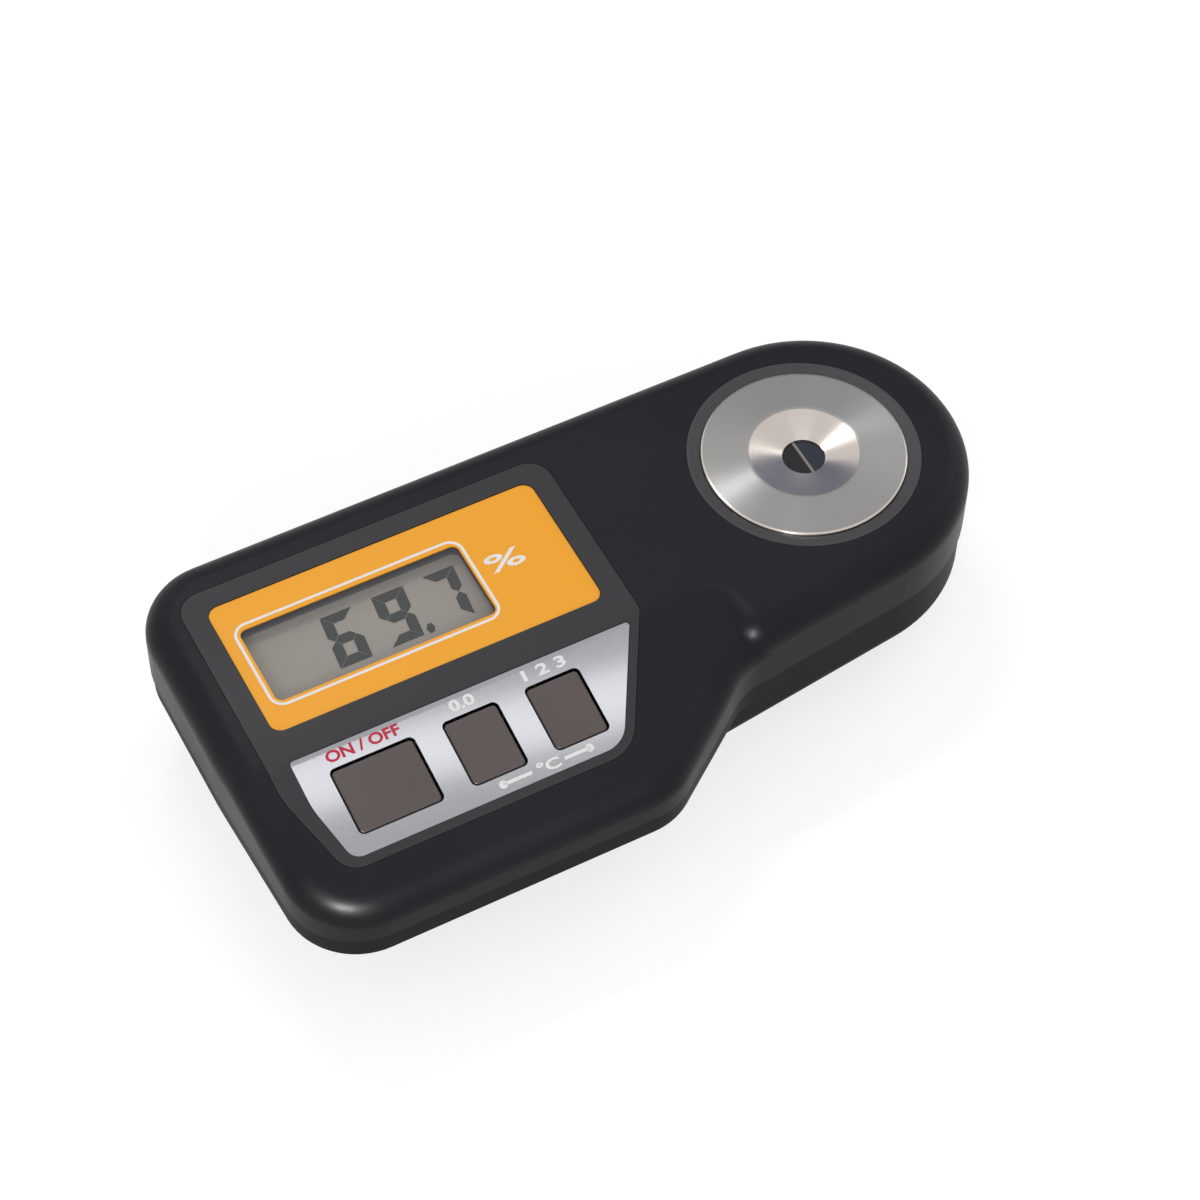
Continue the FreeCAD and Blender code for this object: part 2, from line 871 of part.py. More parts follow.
def lcd_holder():
    # Frame under the roof that carries the glass and keeps it at its depth below the window
    x0, x1, y0, y1 = lcd_box()
    w = lcd_holder_wall
    dx = lcd_step_x - seat_gap
    dy = lcd_step_y - seat_gap
    corners = rectangle(x0 - w, x1 + w, y0 - w, y1 + w, board_corner_radius)
    outside = prism_of(corners, main_board_top, case_top - roof)
    step = lcd_top - lcd_thickness / 2
    g = seat_gap
    outside = outside.cut(cuboid(x0 - g, x1 + g, y0 - g, y1 + g, 0, step + g))
    outside = outside.cut(cuboid(x0 + dx, x1 - dx, y0 + dy, y1 - dy, 0, lcd_top + g))
    return outside.cut(prism_of(inset_corners(window_corners(), -window_bevel), 0, case_top))


def contact_strips():
    x0, x1, y0, y1 = lcd_box()
    left = main_board_left + contact_strip_inset
    right = x1 - lcd_step_y
    w = contact_strip_width
    rows = (y0 + contact_strip_inset, y1 - contact_strip_inset - w)
    strips = [cuboid(left, right, y, y + w, main_board_top, lcd_top - lcd_thickness) for y in rows]
    return Part.makeCompound(strips)


def main_board():
    corners = rectangle(main_board_left, main_board_right, main_board_front, main_board_back,
                        board_corner_radius)
    board = prism_of(corners, board_bottom, main_board_top)
    for x, y in main_board_posts():
        board = board.cut(disc(board_screw_radius + 2 * screw_clearance, 0, case_top, x, y))
    return board


def controller_chip():
    right = chip_left + chip_size
    body = cuboid(chip_left, right, chip_front, chip_front + chip_size, board_bottom - chip_height,
                  board_bottom - screw_clearance)
    first = chip_front + (chip_size - (chip_lead_count - 1) * chip_lead_pitch - chip_lead_width) / 2
    leads = []
    for i in range(chip_lead_count):
        y = first + i * chip_lead_pitch
        for x in (chip_left - chip_lead_pitch, right):
            leads.append(cuboid(x, x + chip_lead_pitch, y, y + chip_lead_width,
                                board_bottom - chip_lead_thickness, board_bottom))
    return fuse_all([body] + leads)


def soldered(left, front, length, width, height):
    return cuboid(left, left + length, front, front + width, board_bottom - height, board_bottom)


def board_components():
    pieces = []
    for i in range(resistor_count):
        left = resistor_left + i * resistor_pitch
        pieces.append(soldered(left, resistor_front, resistor_length, resistor_width, resistor_height))
    for radius, y in capacitors:
        pieces.append(disc(radius, board_bottom - capacitor_height, board_bottom, capacitor_x, y))
    right = crystal_left + crystal_length
    crystal = rectangle(crystal_left, right, crystal_front, crystal_front + crystal_width,
                        crystal_width / 2 - screw_clearance)
    pieces.append(prism_of(crystal, board_bottom - crystal_height, board_bottom))
    pieces.append(soldered(sensor_socket_left, sensor_socket_front, sensor_socket_width,
                           sensor_socket_length, sensor_socket_height))
    pieces.append(soldered(key_socket_left, key_socket_front, key_socket_length, key_socket_width,
                           key_socket_height))
    return Part.makeCompound(pieces)


def board_screws():
    pieces = []
    for x, y in main_board_posts():
        pieces.append(screw(board_screw_radius, board_screw_head, board_screw_head_height,
                            board_thickness + board_screw_bite, x, y, board_bottom))
    for x, v in key_board_posts():
        small = screw(key_screw_radius, key_screw_head, key_screw_head_height,
                      board_thickness + key_screw_bite, x, v, -key_board_depth() - board_thickness)
        pieces.append(on_slope(small))
    return Part.makeCompound(pieces)


def key_cap(name):
    bottom = -roof - key_rest_gap - key_flange_thickness
    cap = prism_of(key_corners(name, -key_gap), bottom, -key_recess)
    top = [edge for edge in cap.Edges if edge.BoundBox.ZMin > -key_recess - touch]
    cap = cap.makeFillet(key_edge_radius, top)
    flange = prism_of(key_corners(name, key_flange), bottom, -roof - key_rest_gap)
    return on_slope(cap.fuse(flange).removeSplitter())


def key_middle(name):
    left, right = key_spans[name]
    return (left + right) / 2, (key_back + key_front) / 2


def switch_top():
    return -roof - key_rest_gap - key_flange_thickness - plunger_free_length


def key_plunger(name):
    x, v = key_middle(name)
    bottom = switch_top() - plunger_depth
    return on_slope(disc(plunger_radius, bottom, -roof - key_rest_gap - key_flange_thickness, x, v))


def key_switches():
    bodies = []
    half = switch_size / 2
    top = switch_top()
    for name in key_spans:
        x, v = key_middle(name)
        corners = rectangle(x - half, x + half, v - half, v + half, switch_corner_radius)
        body = prism_of(corners, top - switch_height, top)
        floor = top - plunger_depth - key_travel - 2 * plunger_clearance
        well = disc(plunger_radius + plunger_clearance, floor, top, x, v)
        bodies.append(on_slope(body.cut(well)))
    return Part.makeCompound(bodies)


def key_board():
    left = min(span[0] for span in key_spans.values()) - key_board_margin_left
    right = max(span[1] for span in key_spans.values()) + key_board_margin_right
    top = -key_board_depth()
    corners = rectangle(left, right, key_front - key_board_margin, key_back + key_board_margin,
                        board_corner_radius)
    board = prism_of(corners, top - board_thickness, top)
    for x, v in key_board_posts():
        board = board.cut(disc(key_screw_radius + 2 * screw_clearance, -far, far, x, v))
    return on_slope(board)


def stage_profile_solid():
    # Turned metal stage: rim, dish, and the boss that passes through the case
    outline = [
        (dish_hole_radius, prism_top),
        (dish_hole_radius, prism_top + dish_land),
        (dish_rim_radius, stage_top),
        (stage_radius - stage_chamfer, stage_top),
        (stage_radius, stage_top - stage_chamfer),
        (stage_radius, stage_shelf),
        (stage_boss_radius, stage_shelf),
        (stage_boss_radius, stage_bottom),
        (prism_room_radius, stage_bottom),
        (prism_room_radius, prism_top),
    ]
    return turned(outline)


def turned(outline):
    # Solid of revolution about the stage axis, from (radius, height) pairs
    points = [vec(stage_x + r, stage_y, z) for r, z in outline]
    face = Part.Face(Part.makePolygon(points + [points[0]]))
    return face.revolve(vec(stage_x, stage_y, 0), vec(0, 0, 1), 360)


def sample_stage():
    stage = stage_profile_solid()
    inner = dish_hole_radius + seal_inset
    stage = stage.cut(tube(inner + seal_width, inner, prism_top, prism_top + seal_depth, stage_x, stage_y))
    tip = stage_bottom - stage_screw_seat + stage_screw_reach + screw_clearance
    for x, y in stage_screw_places():
        stage = stage.cut(disc(stage_screw_radius + screw_clearance / 2, 0, tip, x, y))
    x, y = under_stage(thermistor_angle)
    tip = stage_bottom + thermistor_bite + screw_clearance
    return stage.cut(disc(thermistor_radius + screw_clearance / 2, 0, tip, x, y))


def stage_ring():
    inner = stage_radius + seat_gap
    outline = [
        (inner, stage_shelf),
        (ring_outer_radius, stage_shelf),
        (ring_outer_radius, case_top),
        (ring_outer_radius - ring_bevel, case_top),
        (inner, case_top - ring_bevel),
    ]
    return turned(outline)


def prism_outline(grow):
    # Trapezoid seen along Y, with the measuring face on top
    half = prism_top_width / 2 + grow
    drop = prism_height + grow
    foot = half - drop / math.tan(math.radians(facet_angle))
    top = prism_top
    edge = top - prism_land
    points = [(-half, top), (half, top), (half, edge), (foot, top - drop), (-foot, top - drop), (-half, edge)]
    return [vec(stage_x + x, stage_y - prism_length / 2 - grow, z) for x, z in points]


def prism_solid(grow):
    points = prism_outline(grow)
    return Part.Face(Part.makePolygon(points + [points[0]])).extrude(vec(0, prism_length + 2 * grow, 0))


def prism_seal():
    inner = dish_hole_radius + seal_inset + screw_clearance / 2
    outer = inner + seal_width - screw_clearance
    return tube(outer, inner, prism_top, prism_top + seal_depth, stage_x, stage_y)


def on_beam(shape, side):
    # Shape drawn along +Z, turned to lie on the beam that leaves the prism to one side, and down
    shape.rotate(vec(0, 0, 0), vec(0, 1, 0), side * (90 + beam_angle))
    shape.translate(vec(stage_x, stage_y, prism_top))
    return shape


def square(half, z0, z1):
    return prism_of(rectangle(-half, half, -half, half, board_corner_radius), z0, z1)


def optics_chassis():
    top = stage_bottom
    chassis = disc(chassis_radius, top - chassis_depth, top, stage_x, stage_y)
    arm = chassis_arm
    for side in (-1, 1):
        block = cuboid(-arm, arm, -arm, arm, lens_distance - arm_start, lens_end + arm_end)
        chassis = chassis.fuse(on_beam(block, side))
    chassis = chassis.common(disc(chassis_reach, 0, top, stage_x, stage_y))
    chassis = chassis.cut(prism_solid(prism_gap))
    for side in (-1, 1):
        chassis = chassis.cut(on_beam(disc(beam_radius, 0, sensor_distance), side))
        bore = disc(beam_bore_radius - sleeve_gap / 2, lens_distance, sensor_distance)
        chassis = chassis.cut(on_beam(bore, side))
        room = cuboid(-arm, arm, -arm, arm, lens_end + arm_end + prism_gap, far)
        chassis = chassis.cut(on_beam(room, side))
    for x, y in stage_screw_places():
        chassis = chassis.cut(disc(stage_screw_radius + 2 * screw_clearance, 0, top, x, y))
        chassis = chassis.cut(disc(stage_screw_head + shank_hole_gap, 0, top - stage_screw_seat, x, y))
    x, y = under_stage(thermistor_angle)
    chassis = chassis.cut(disc(thermistor_radius + head_hole_gap, 0, top, x, y))
    return chassis.removeSplitter()


def stage_screws():
    return Part.makeCompound([screw(stage_screw_radius, stage_screw_head, stage_screw_head_height,
                                    stage_screw_reach, x, y, stage_bottom - stage_screw_seat)
                              for x, y in stage_screw_places()])


def lens(side, bulge):
    # Disc with one domed face
    body = disc(lens_radius, lens_distance, lens_end - bulge)
    dome_radius = (lens_radius ** 2 + bulge ** 2) / (2 * bulge)
    dome = Part.makeSphere(dome_radius, vec(0, 0, lens_end - dome_radius))
    cap = dome.common(disc(lens_radius, lens_end - bulge, lens_end))
    return on_beam(body.fuse(cap).removeSplitter(), side)


def led():
    start = led_end - led_length
    body = disc(led_radius, start + led_radius, led_end)
    nose = Part.makeSphere(led_radius, vec(0, 0, start + led_radius))
    flange = disc(led_radius + led_flange, led_end - sensor_board_thickness, led_end)
    return on_beam(fuse_all([body, nose, flange]).removeSplitter(), -1)


def led_holder():
    inner = led_radius + sleeve_gap / 2
    rim = led_end - sensor_board_thickness - sleeve_gap
    sleeve = tube(beam_bore_radius - sleeve_gap, inner, lens_end + sleeve_gap, led_end)
    flange = tube(led_holder_flange, inner, rim - led_flange - sensor_height, rim)
    sleeve = sleeve.fuse(flange).cut(disc(led_radius + led_flange + sleeve_gap / 2, rim, led_end))
    return on_beam(sleeve.removeSplitter(), -1)


def led_board():
    return on_beam(square(led_board_half, led_end, led_end + sensor_board_thickness), -1)


def sensor_board():
    start = sensor_distance + sensor_setback
    return on_beam(square(sensor_board_size / 2, start, start + sensor_board_thickness), 1)


def sensor_package(grow):
    end = sensor_distance + sensor_setback
    across = sensor_half_width + grow
    along = sensor_half_length + grow
    return cuboid(-across, across, -along, along, end - sensor_height - grow, end)


def line_sensor():
    return on_beam(sensor_package(0), 1)


def sensor_shroud():
    end = sensor_distance + sensor_setback
    floor = end - sensor_height - 2 * sleeve_gap
    sleeve = tube(beam_bore_radius - sleeve_gap, beam_radius, lens_end + sleeve_gap, floor)
    half = sensor_board_size / 2
    cap = cuboid(-half, half, -half, half, floor - sensor_board_thickness, end)
    cap = cap.cut(sensor_package(sleeve_gap)).cut(disc(beam_radius, 0, end))
    return on_beam(sleeve.fuse(cap).removeSplitter(), 1)


def thermistor():
    x, y = under_stage(thermistor_angle)
    tip = stage_bottom + thermistor_bite
    return disc(thermistor_radius, tip - thermistor_length, tip, x, y)


def ribbon(points, thickness, start, width, along_x):
    # Flat cable: an offset band of an open path, given as (run, height) pairs
    upper = []
    lower = []
    count = len(points)
    for i in range(count):
        d = unit(points[max(i - 1, 0)], points[min(i + 1, count - 1)])
        half = thickness / 2
        upper.append((points[i][0] - d[1] * half, points[i][1] + d[0] * half))
        lower.append((points[i][0] + d[1] * half, points[i][1] - d[0] * half))
    band = upper + lower[::-1]
    if along_x:
        loop = [vec(a, start, b) for a, b in band]
        push = vec(0, width, 0)
    else:
        loop = [vec(start, a, b) for a, b in band]
        push = vec(width, 0, 0)
    return Part.Face(Part.makePolygon(loop + [loop[0]])).extrude(push)


def slope_point(v, depth):
    # Place on the tilted layers, as (y, z)
    y = fold_y + v * math.cos(slope) + depth * math.sin(slope)
    z = case_top + v * math.sin(slope) - depth * math.cos(slope)
    return y, z


def key_ribbon():
    # From under the key board to its socket under the main board
    depth = key_board_depth() + board_thickness + ribbon_thickness
    overlap = 2 * key_board_margin / 3
    first = slope_point(key_back - overlap, depth)
    second = slope_point(key_back + key_board_margin, depth)
    height = board_bottom - key_socket_height / 2
    socket = key_socket_front
    points = [first, second, (main_board_front - ribbon_thickness, height), (socket, height)]
    return ribbon(points, ribbon_thickness, key_ribbon_left, key_ribbon_width, False)


def sensor_ribbon():
    # From the back of the sensor board, down under the optics and up to its socket on the main board
    angle = math.radians(beam_angle)
    back = sensor_distance + sensor_setback + sensor_board_thickness + ribbon_thickness
    half = sensor_board_size / 2
    points = []
    for run in (half / 4, half - sensor_board_thickness, half + led_radius / 2):
        x = stage_x + back * math.cos(angle) - run * math.sin(angle)
        z = prism_top - back * math.sin(angle) - run * math.cos(angle)
        points.append((x, z))
    end_x = main_board_right
    end_z = board_bottom - sensor_socket_height / 2
    span = x - end_x
    sag = z - led_radius
    points += [(x - 0.06 * span, z - 0.7 * led_radius), (x - 0.16 * span, sag), (x - 0.55 * span, sag),
               (x - 0.72 * span, sag + 0.12 * (end_z - sag)), (x - 0.86 * span, sag + 0.45 * (end_z - sag)),
               (x - 0.96 * span, end_z - led_radius), (end_x, end_z)]
    return ribbon(points, ribbon_thickness, stage_y - sensor_ribbon_width / 2, sensor_ribbon_width, True)


def battery_cell():
    x0 = battery_left
    half = battery_width / 2
    y0 = battery_center_y - half
    top = battery_bottom + battery_height
    cell = cuboid(x0, x0 + battery_length, y0, y0 + battery_width, battery_bottom, top)
    long_edges = [edge for edge in cell.Edges if edge.BoundBox.XLength > battery_length / 2]
    return cell.makeFillet(battery_edge_radius, long_edges)


def terminal_places():
    z = battery_bottom + battery_height / 2
    return [(battery_center_y - terminal_spacing / 2, z), (battery_center_y + terminal_spacing / 2, z)]


def battery_terminals():
    x = battery_left + battery_length
    studs = []
    for (y, z), radius in zip(terminal_places(), terminal_radii):
        studs.append(Part.makeCylinder(radius, terminal_height, vec(x, y, z), vec(1, 0, 0)))
    return Part.makeCompound(studs)


def battery_contacts():
    # Two upright leaves that the studs press on, with tails up to the main board
    x = contact_x
    pieces = []
    for y, z in terminal_places():
        leaf = cuboid(x, x + contact_thickness, y - contact_leaf_half, y + contact_leaf_half,
                      battery_bottom + contact_leaf_foot, z + contact_leaf_rise)
        tail = cuboid(x, x + contact_thickness, y - contact_tail_half, y + contact_tail_half,
                      z + contact_leaf_rise, board_bottom)
        pieces.append(leaf.fuse(tail).removeSplitter())
    return Part.makeCompound(pieces)


def contact_block():
    x0, x1, y0, y1 = battery_box(battery_play)
    g = contact_block_gap
    return cuboid(contact_x + contact_thickness, x1 + contact_block_width - g / 2, y0 + g, y1 - g,
                  lid_top + cover_shelf, battery_bottom + battery_height - bay_rim)


def battery_cover():
    plate = prism_of(cover_corners(0), cover_bottom, cover_top)
    low = [edge for edge in plate.Edges if edge.BoundBox.ZMax < cover_bottom + touch]
    plate = plate.makeFillet(cover_edge_radius, low)
    cx, cy = coin_screw_place()
    seat = cover_bottom + coin_head_height + coin_seat_gap
    plate = plate.cut(disc(coin_shank_radius + coin_shank_gap, 0, cover_top, cx, cy))
    plate = plate.cut(disc(coin_screw_radius + 2 * coin_seat_gap, 0, seat, cx, cy))
    x0, x1, y0, y1 = battery_box(battery_play)
    for i in range(grip_count):
        x = x0 + grip_inset + i * grip_pitch
        plate = plate.cut(cuboid(x, x + grip_width, battery_center_y - grip_half_length,
                                 battery_center_y + grip_half_length, 0, cover_bottom + grip_depth))
    return plate


def battery_cover_gasket():
    x0, x1, y0, y1 = battery_box(battery_play)
    inner = inset_corners(rectangle(x0, x1, y0, y1, gasket_corner_radius), -gasket_margin)
    outer = inset_corners(inner, -gasket_width)
    return prism_of(outer, cover_top, lid_top).cut(prism_of(inner, 0, case_top))


def battery_pad():
    x0, x1, y0, y1 = battery_box(battery_play)
    corners = rectangle(x0 + pad_inset_left, x1 - pad_inset_right, y0 + pad_inset_side, y1 - pad_inset_side,
                        pad_corner_radius)
    return prism_of(corners, cover_top, battery_bottom - pad_gap)


def cover_screw():
    cx, cy = coin_screw_place()
    head = disc(coin_screw_radius, cover_bottom, cover_bottom + coin_head_height, cx, cy)
    shank = disc(coin_shank_radius, cover_bottom, cover_bottom + coin_screw_reach, cx, cy)
    reach = 2 * coin_screw_radius
    half = coin_slot_width / 2
    slot = cuboid(cx - reach, cx + reach, cy - half, cy + half, 0, cover_bottom + coin_slot_depth)
    return head.fuse(shank).removeSplitter().cut(slot)


def build():
    os.makedirs("parts", exist_ok=True)
    save(upper_case(), "upper_case")
    save(lower_case(), "lower_case")
    save(case_gasket(), "case_gasket")
    save(case_screws(), "case_screws")
    save(rubber_feet(), "rubber_feet")
    save(panel_frame(), "panel_frame")
    save(display_panel(), "display_panel")
    save(display_window(), "display_window")
    save(lcd_glass(), "lcd_glass")
    save(lcd_holder(), "lcd_holder")
    save(contact_strips(), "contact_strips")
    save(main_board(), "main_board")
    save(controller_chip(), "controller_chip")
    save(board_components(), "board_components")
    save(board_screws(), "board_screws")
    save(key_panel(), "key_panel")
    save(key_board(), "key_board")
    save(key_switches(), "key_switches")
    for name in key_spans:
        save(key_cap(name), name + "_key")
        save(key_plunger(name), name + "_plunger")
    save(sample_stage(), "sample_stage")
    save(stage_ring(), "stage_ring")
    save(prism_solid(0), "prism")
    save(prism_seal(), "prism_seal")
    save(optics_chassis(), "optics_chassis")
    save(stage_screws(), "stage_screws")
    save(lens(-1, condenser_bulge), "condenser_lens")
    save(lens(1, sensor_bulge), "sensor_lens")
    save(led(), "led")
    save(led_holder(), "led_holder")
    save(led_board(), "led_board")
    save(sensor_shroud(), "sensor_shroud")
    save(sensor_board(), "sensor_board")
    save(line_sensor(), "line_sensor")
    save(thermistor(), "thermistor")
    save(key_ribbon(), "key_ribbon")
    save(sensor_ribbon(), "sensor_ribbon")
    save(battery_cell(), "battery")
    save(battery_terminals(), "battery_terminals")
    save(battery_contacts(), "battery_contacts")
    save(contact_block(), "contact_block")
    save(battery_cover(), "battery_cover")
    save(battery_cover_gasket(), "battery_cover_gasket")
    save(battery_pad(), "battery_pad")
    save(cover_screw(), "cover_screw")


build()
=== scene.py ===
# Handheld digital refractometer: finishes, turned stage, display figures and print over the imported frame.
import json
import math

import bmesh
import bpy
from mathutils import Matrix, Vector


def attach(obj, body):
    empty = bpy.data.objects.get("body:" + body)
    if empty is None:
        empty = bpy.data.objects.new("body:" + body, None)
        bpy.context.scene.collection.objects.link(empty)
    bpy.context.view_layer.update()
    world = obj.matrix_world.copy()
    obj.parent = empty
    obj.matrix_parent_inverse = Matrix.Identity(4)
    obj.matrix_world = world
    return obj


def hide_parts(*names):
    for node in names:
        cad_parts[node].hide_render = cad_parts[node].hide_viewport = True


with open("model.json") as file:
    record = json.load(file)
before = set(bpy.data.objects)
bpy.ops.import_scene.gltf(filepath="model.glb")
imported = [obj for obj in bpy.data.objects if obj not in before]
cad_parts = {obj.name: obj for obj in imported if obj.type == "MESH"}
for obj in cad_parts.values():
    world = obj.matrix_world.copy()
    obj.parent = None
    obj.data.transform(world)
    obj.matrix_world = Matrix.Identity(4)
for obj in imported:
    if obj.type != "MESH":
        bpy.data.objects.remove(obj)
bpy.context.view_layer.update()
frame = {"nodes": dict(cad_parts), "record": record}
nodes = frame["nodes"]
print("frame loaded:", len(nodes), "nodes")

mm = 0.001
topFace = {
    "height": 39.6,          # level top of the case
    "foldY": -8.8,           # where it bends down to the keypad
    "tilt": 11.0,            # degrees
    "filmDrop": 0.25,        # orange film below the top face
    "keyPanelDrop": 0.15,    # silver film below the keypad face
}


def linearColour(hexText, alpha=1.0):
    # sRGB hex to the linear values that the shaders expect
    values = []
    for i in (0, 2, 4):
        c = int(hexText[i:i + 2], 16) / 255
        values.append(c / 12.92 if c <= 0.04045 else ((c + 0.055) / 1.055) ** 2.4)
    return (*values, alpha)


def addNode(tree, kind, settings=None, inputs=None):
    # One node with its settings; an input given as a socket is linked, any other value is set
    node = tree.nodes.new(kind)
    for key, value in (settings or {}).items():
        setattr(node, key, value)
    for key, value in (inputs or {}).items():
        if isinstance(value, bpy.types.NodeSocket):
            tree.links.new(value, node.inputs[key])
        else:
            node.inputs[key].default_value = value
    return node


def addMath(tree, operation, *values):
    return addNode(tree, "ShaderNodeMath", {"operation": operation}, dict(enumerate(values))).outputs["Value"]


def addObject(name, data):
    thing = bpy.data.objects.new(name, data)
    bpy.context.scene.collection.objects.link(thing)
    return thing


def newMaterial(name, **values):
    # A principled material with its plain values set on the shader's own sockets
    material = bpy.data.materials.new(name)
    material.use_nodes = True
    tree = material.node_tree
    shader = tree.nodes["Principled BSDF"]
    for key, value in values.items():
        shader.inputs[key.replace("_", " ")].default_value = value
    return material, tree, shader


def objectPoint(tree, scale=(1, 1, 1), rotation=(0, 0, 0), location=(0, 0, 0)):
    # Object coordinates in metres, scaled, turned or centred by a Mapping node
    place = addNode(tree, "ShaderNodeTexCoord")
    return addNode(tree, "ShaderNodeMapping", None, {
        "Vector": place.outputs["Object"], "Scale": scale, "Rotation": rotation, "Location": location,
    }).outputs["Vector"]


def noiseOf(tree, sizeMm, detail=2.0, roughness=0.5, vector=None):
    # Noise whose blobs are about sizeMm across
    return addNode(tree, "ShaderNodeTexNoise", None, {
        "Vector": vector or objectPoint(tree), "Scale": 1 / (sizeMm * mm), "Detail": detail,
        "Roughness": roughness}).outputs["Fac"]


def colourBetween(tree, factor, first, second):
    mix = addNode(tree, "ShaderNodeMix", {"data_type": "RGBA"})
    tree.links.new(factor, mix.inputs["Factor"])
    for socket, colour in (("A", first), ("B", second)):
        if isinstance(colour, str):
            mix.inputs[socket].default_value = linearColour(colour)
        else:
            tree.links.new(colour, mix.inputs[socket])
    return mix.outputs["Result"]


def valueBetween(tree, factor, low, high, fromLow=0.0, fromHigh=1.0):
    return addNode(tree, "ShaderNodeMapRange", None, {
        "Value": factor, "From Min": fromLow, "From Max": fromHigh, "To Min": low, "To Max": high,
    }).outputs["Result"]


def addBump(tree, shader, height, distanceMm, strength=0.5):
    bump = addNode(tree, "ShaderNodeBump", None, {
        "Height": height, "Strength": strength, "Distance": distanceMm * mm})
    tree.links.new(bump.outputs["Normal"], shader.inputs["Normal"])


def moulded(name, dark, light, roughness, grainMm, grainHeightMm, specular=0.5):
    # Moulded plastic or rubber with a fine eroded grain: the grain breaks up the highlights,
    # and a slow cloud of wear changes the gloss a little from place to place
    material, tree, shader = newMaterial(name, Specular_IOR_Level=specular)
    cloud = noiseOf(tree, 22)
    tree.links.new(colourBetween(tree, cloud, dark, light), shader.inputs["Base Color"])
    tree.links.new(valueBetween(tree, cloud, roughness - 0.04, roughness + 0.05, 0.3, 0.7),
                   shader.inputs["Roughness"])
    addBump(tree, shader, noiseOf(tree, grainMm, 3.0, 0.6), grainHeightMm)
    return material


def plated(name, tint, roughness, brushMm):
    # Plated or brushed metal: fine random scratches along X
    material, tree, shader = newMaterial(name, Metallic=1.0)
    shader.inputs["Base Color"].default_value = linearColour(tint)
    lines = noiseOf(tree, brushMm, 3.0, vector=objectPoint(tree, (0.05, 1, 1)))
    tree.links.new(valueBetween(tree, lines, roughness - 0.06, roughness + 0.08, 0.3, 0.7),
                   shader.inputs["Roughness"])
    addBump(tree, shader, lines, 0.01, 0.25)
    return material


def satinCase():
    # Black ABS from a spark-eroded mould: soft wide highlights on every rounded rim
    return moulded("black_abs_satin", "232025", "28252A", 0.39, 0.3, 0.010, 0.08)


def satinBase():
    # The base half of the same ABS, a touch more worn and grey
    return moulded("black_abs_base", "212022", "272628", 0.46, 0.3, 0.012, 0.045)


def greyBezel():
    # Grey polycarbonate bezel, fine satin
    return moulded("grey_polycarbonate", "313033", "373639", 0.42, 0.25, 0.006, 0.18)


def orangePanel():
    # Reverse-printed polyester film: even saturated orange under a satin face, paler where it is worn
    material, tree, shader = newMaterial("orange_polyester_print", Specular_IOR_Level=0.18)
    slow = noiseOf(tree, 30, 1.0)
    tree.links.new(colourBetween(tree, slow, "F8A827", "FBAF33"), shader.inputs["Base Color"])
    tree.links.new(valueBetween(tree, slow, 0.36, 0.44, 0.3, 0.7), shader.inputs["Roughness"])
    addBump(tree, shader, noiseOf(tree, 0.25), 0.004, 0.3)
    return material


def clearWindow():
    # Clear acrylic sheet over the display: a faint gloss with everything below showing through
    material, tree, shader = newMaterial("clear_acrylic", Alpha=0.05, IOR=1.49)
    shader.inputs["Base Color"].default_value = linearColour("E4E8EA")
    tree.links.new(valueBetween(tree, noiseOf(tree, 9), 0.02, 0.06, 0.35, 0.7), shader.inputs["Roughness"])
    return material


def displayGlass():
    # Liquid crystal cell behind a satin polariser: warm even grey
    material, tree, shader = newMaterial("polariser_film", Specular_IOR_Level=0.1)
    tree.links.new(colourBetween(tree, noiseOf(tree, 25, 1.0), "989088", "A09890"),
                   shader.inputs["Base Color"])
    tree.links.new(valueBetween(tree, noiseOf(tree, 0.3), 0.4, 0.5), shader.inputs["Roughness"])
    return material


def silverPanel():
    # Satin silver print on polyester: metallic flake gives a sheen with soft bands of light
    material, tree, shader = newMaterial("silver_flake_print", Metallic=1.0)
    flake = noiseOf(tree, 0.25, 3.0)
    tree.links.new(colourBetween(tree, flake, "9B9B9F", "A3A3A8"), shader.inputs["Base Color"])
    tree.links.new(valueBetween(tree, flake, 0.05, 0.09, 0.3, 0.7), shader.inputs["Roughness"])
    addBump(tree, shader, flake, 0.002, 0.1)
    return material


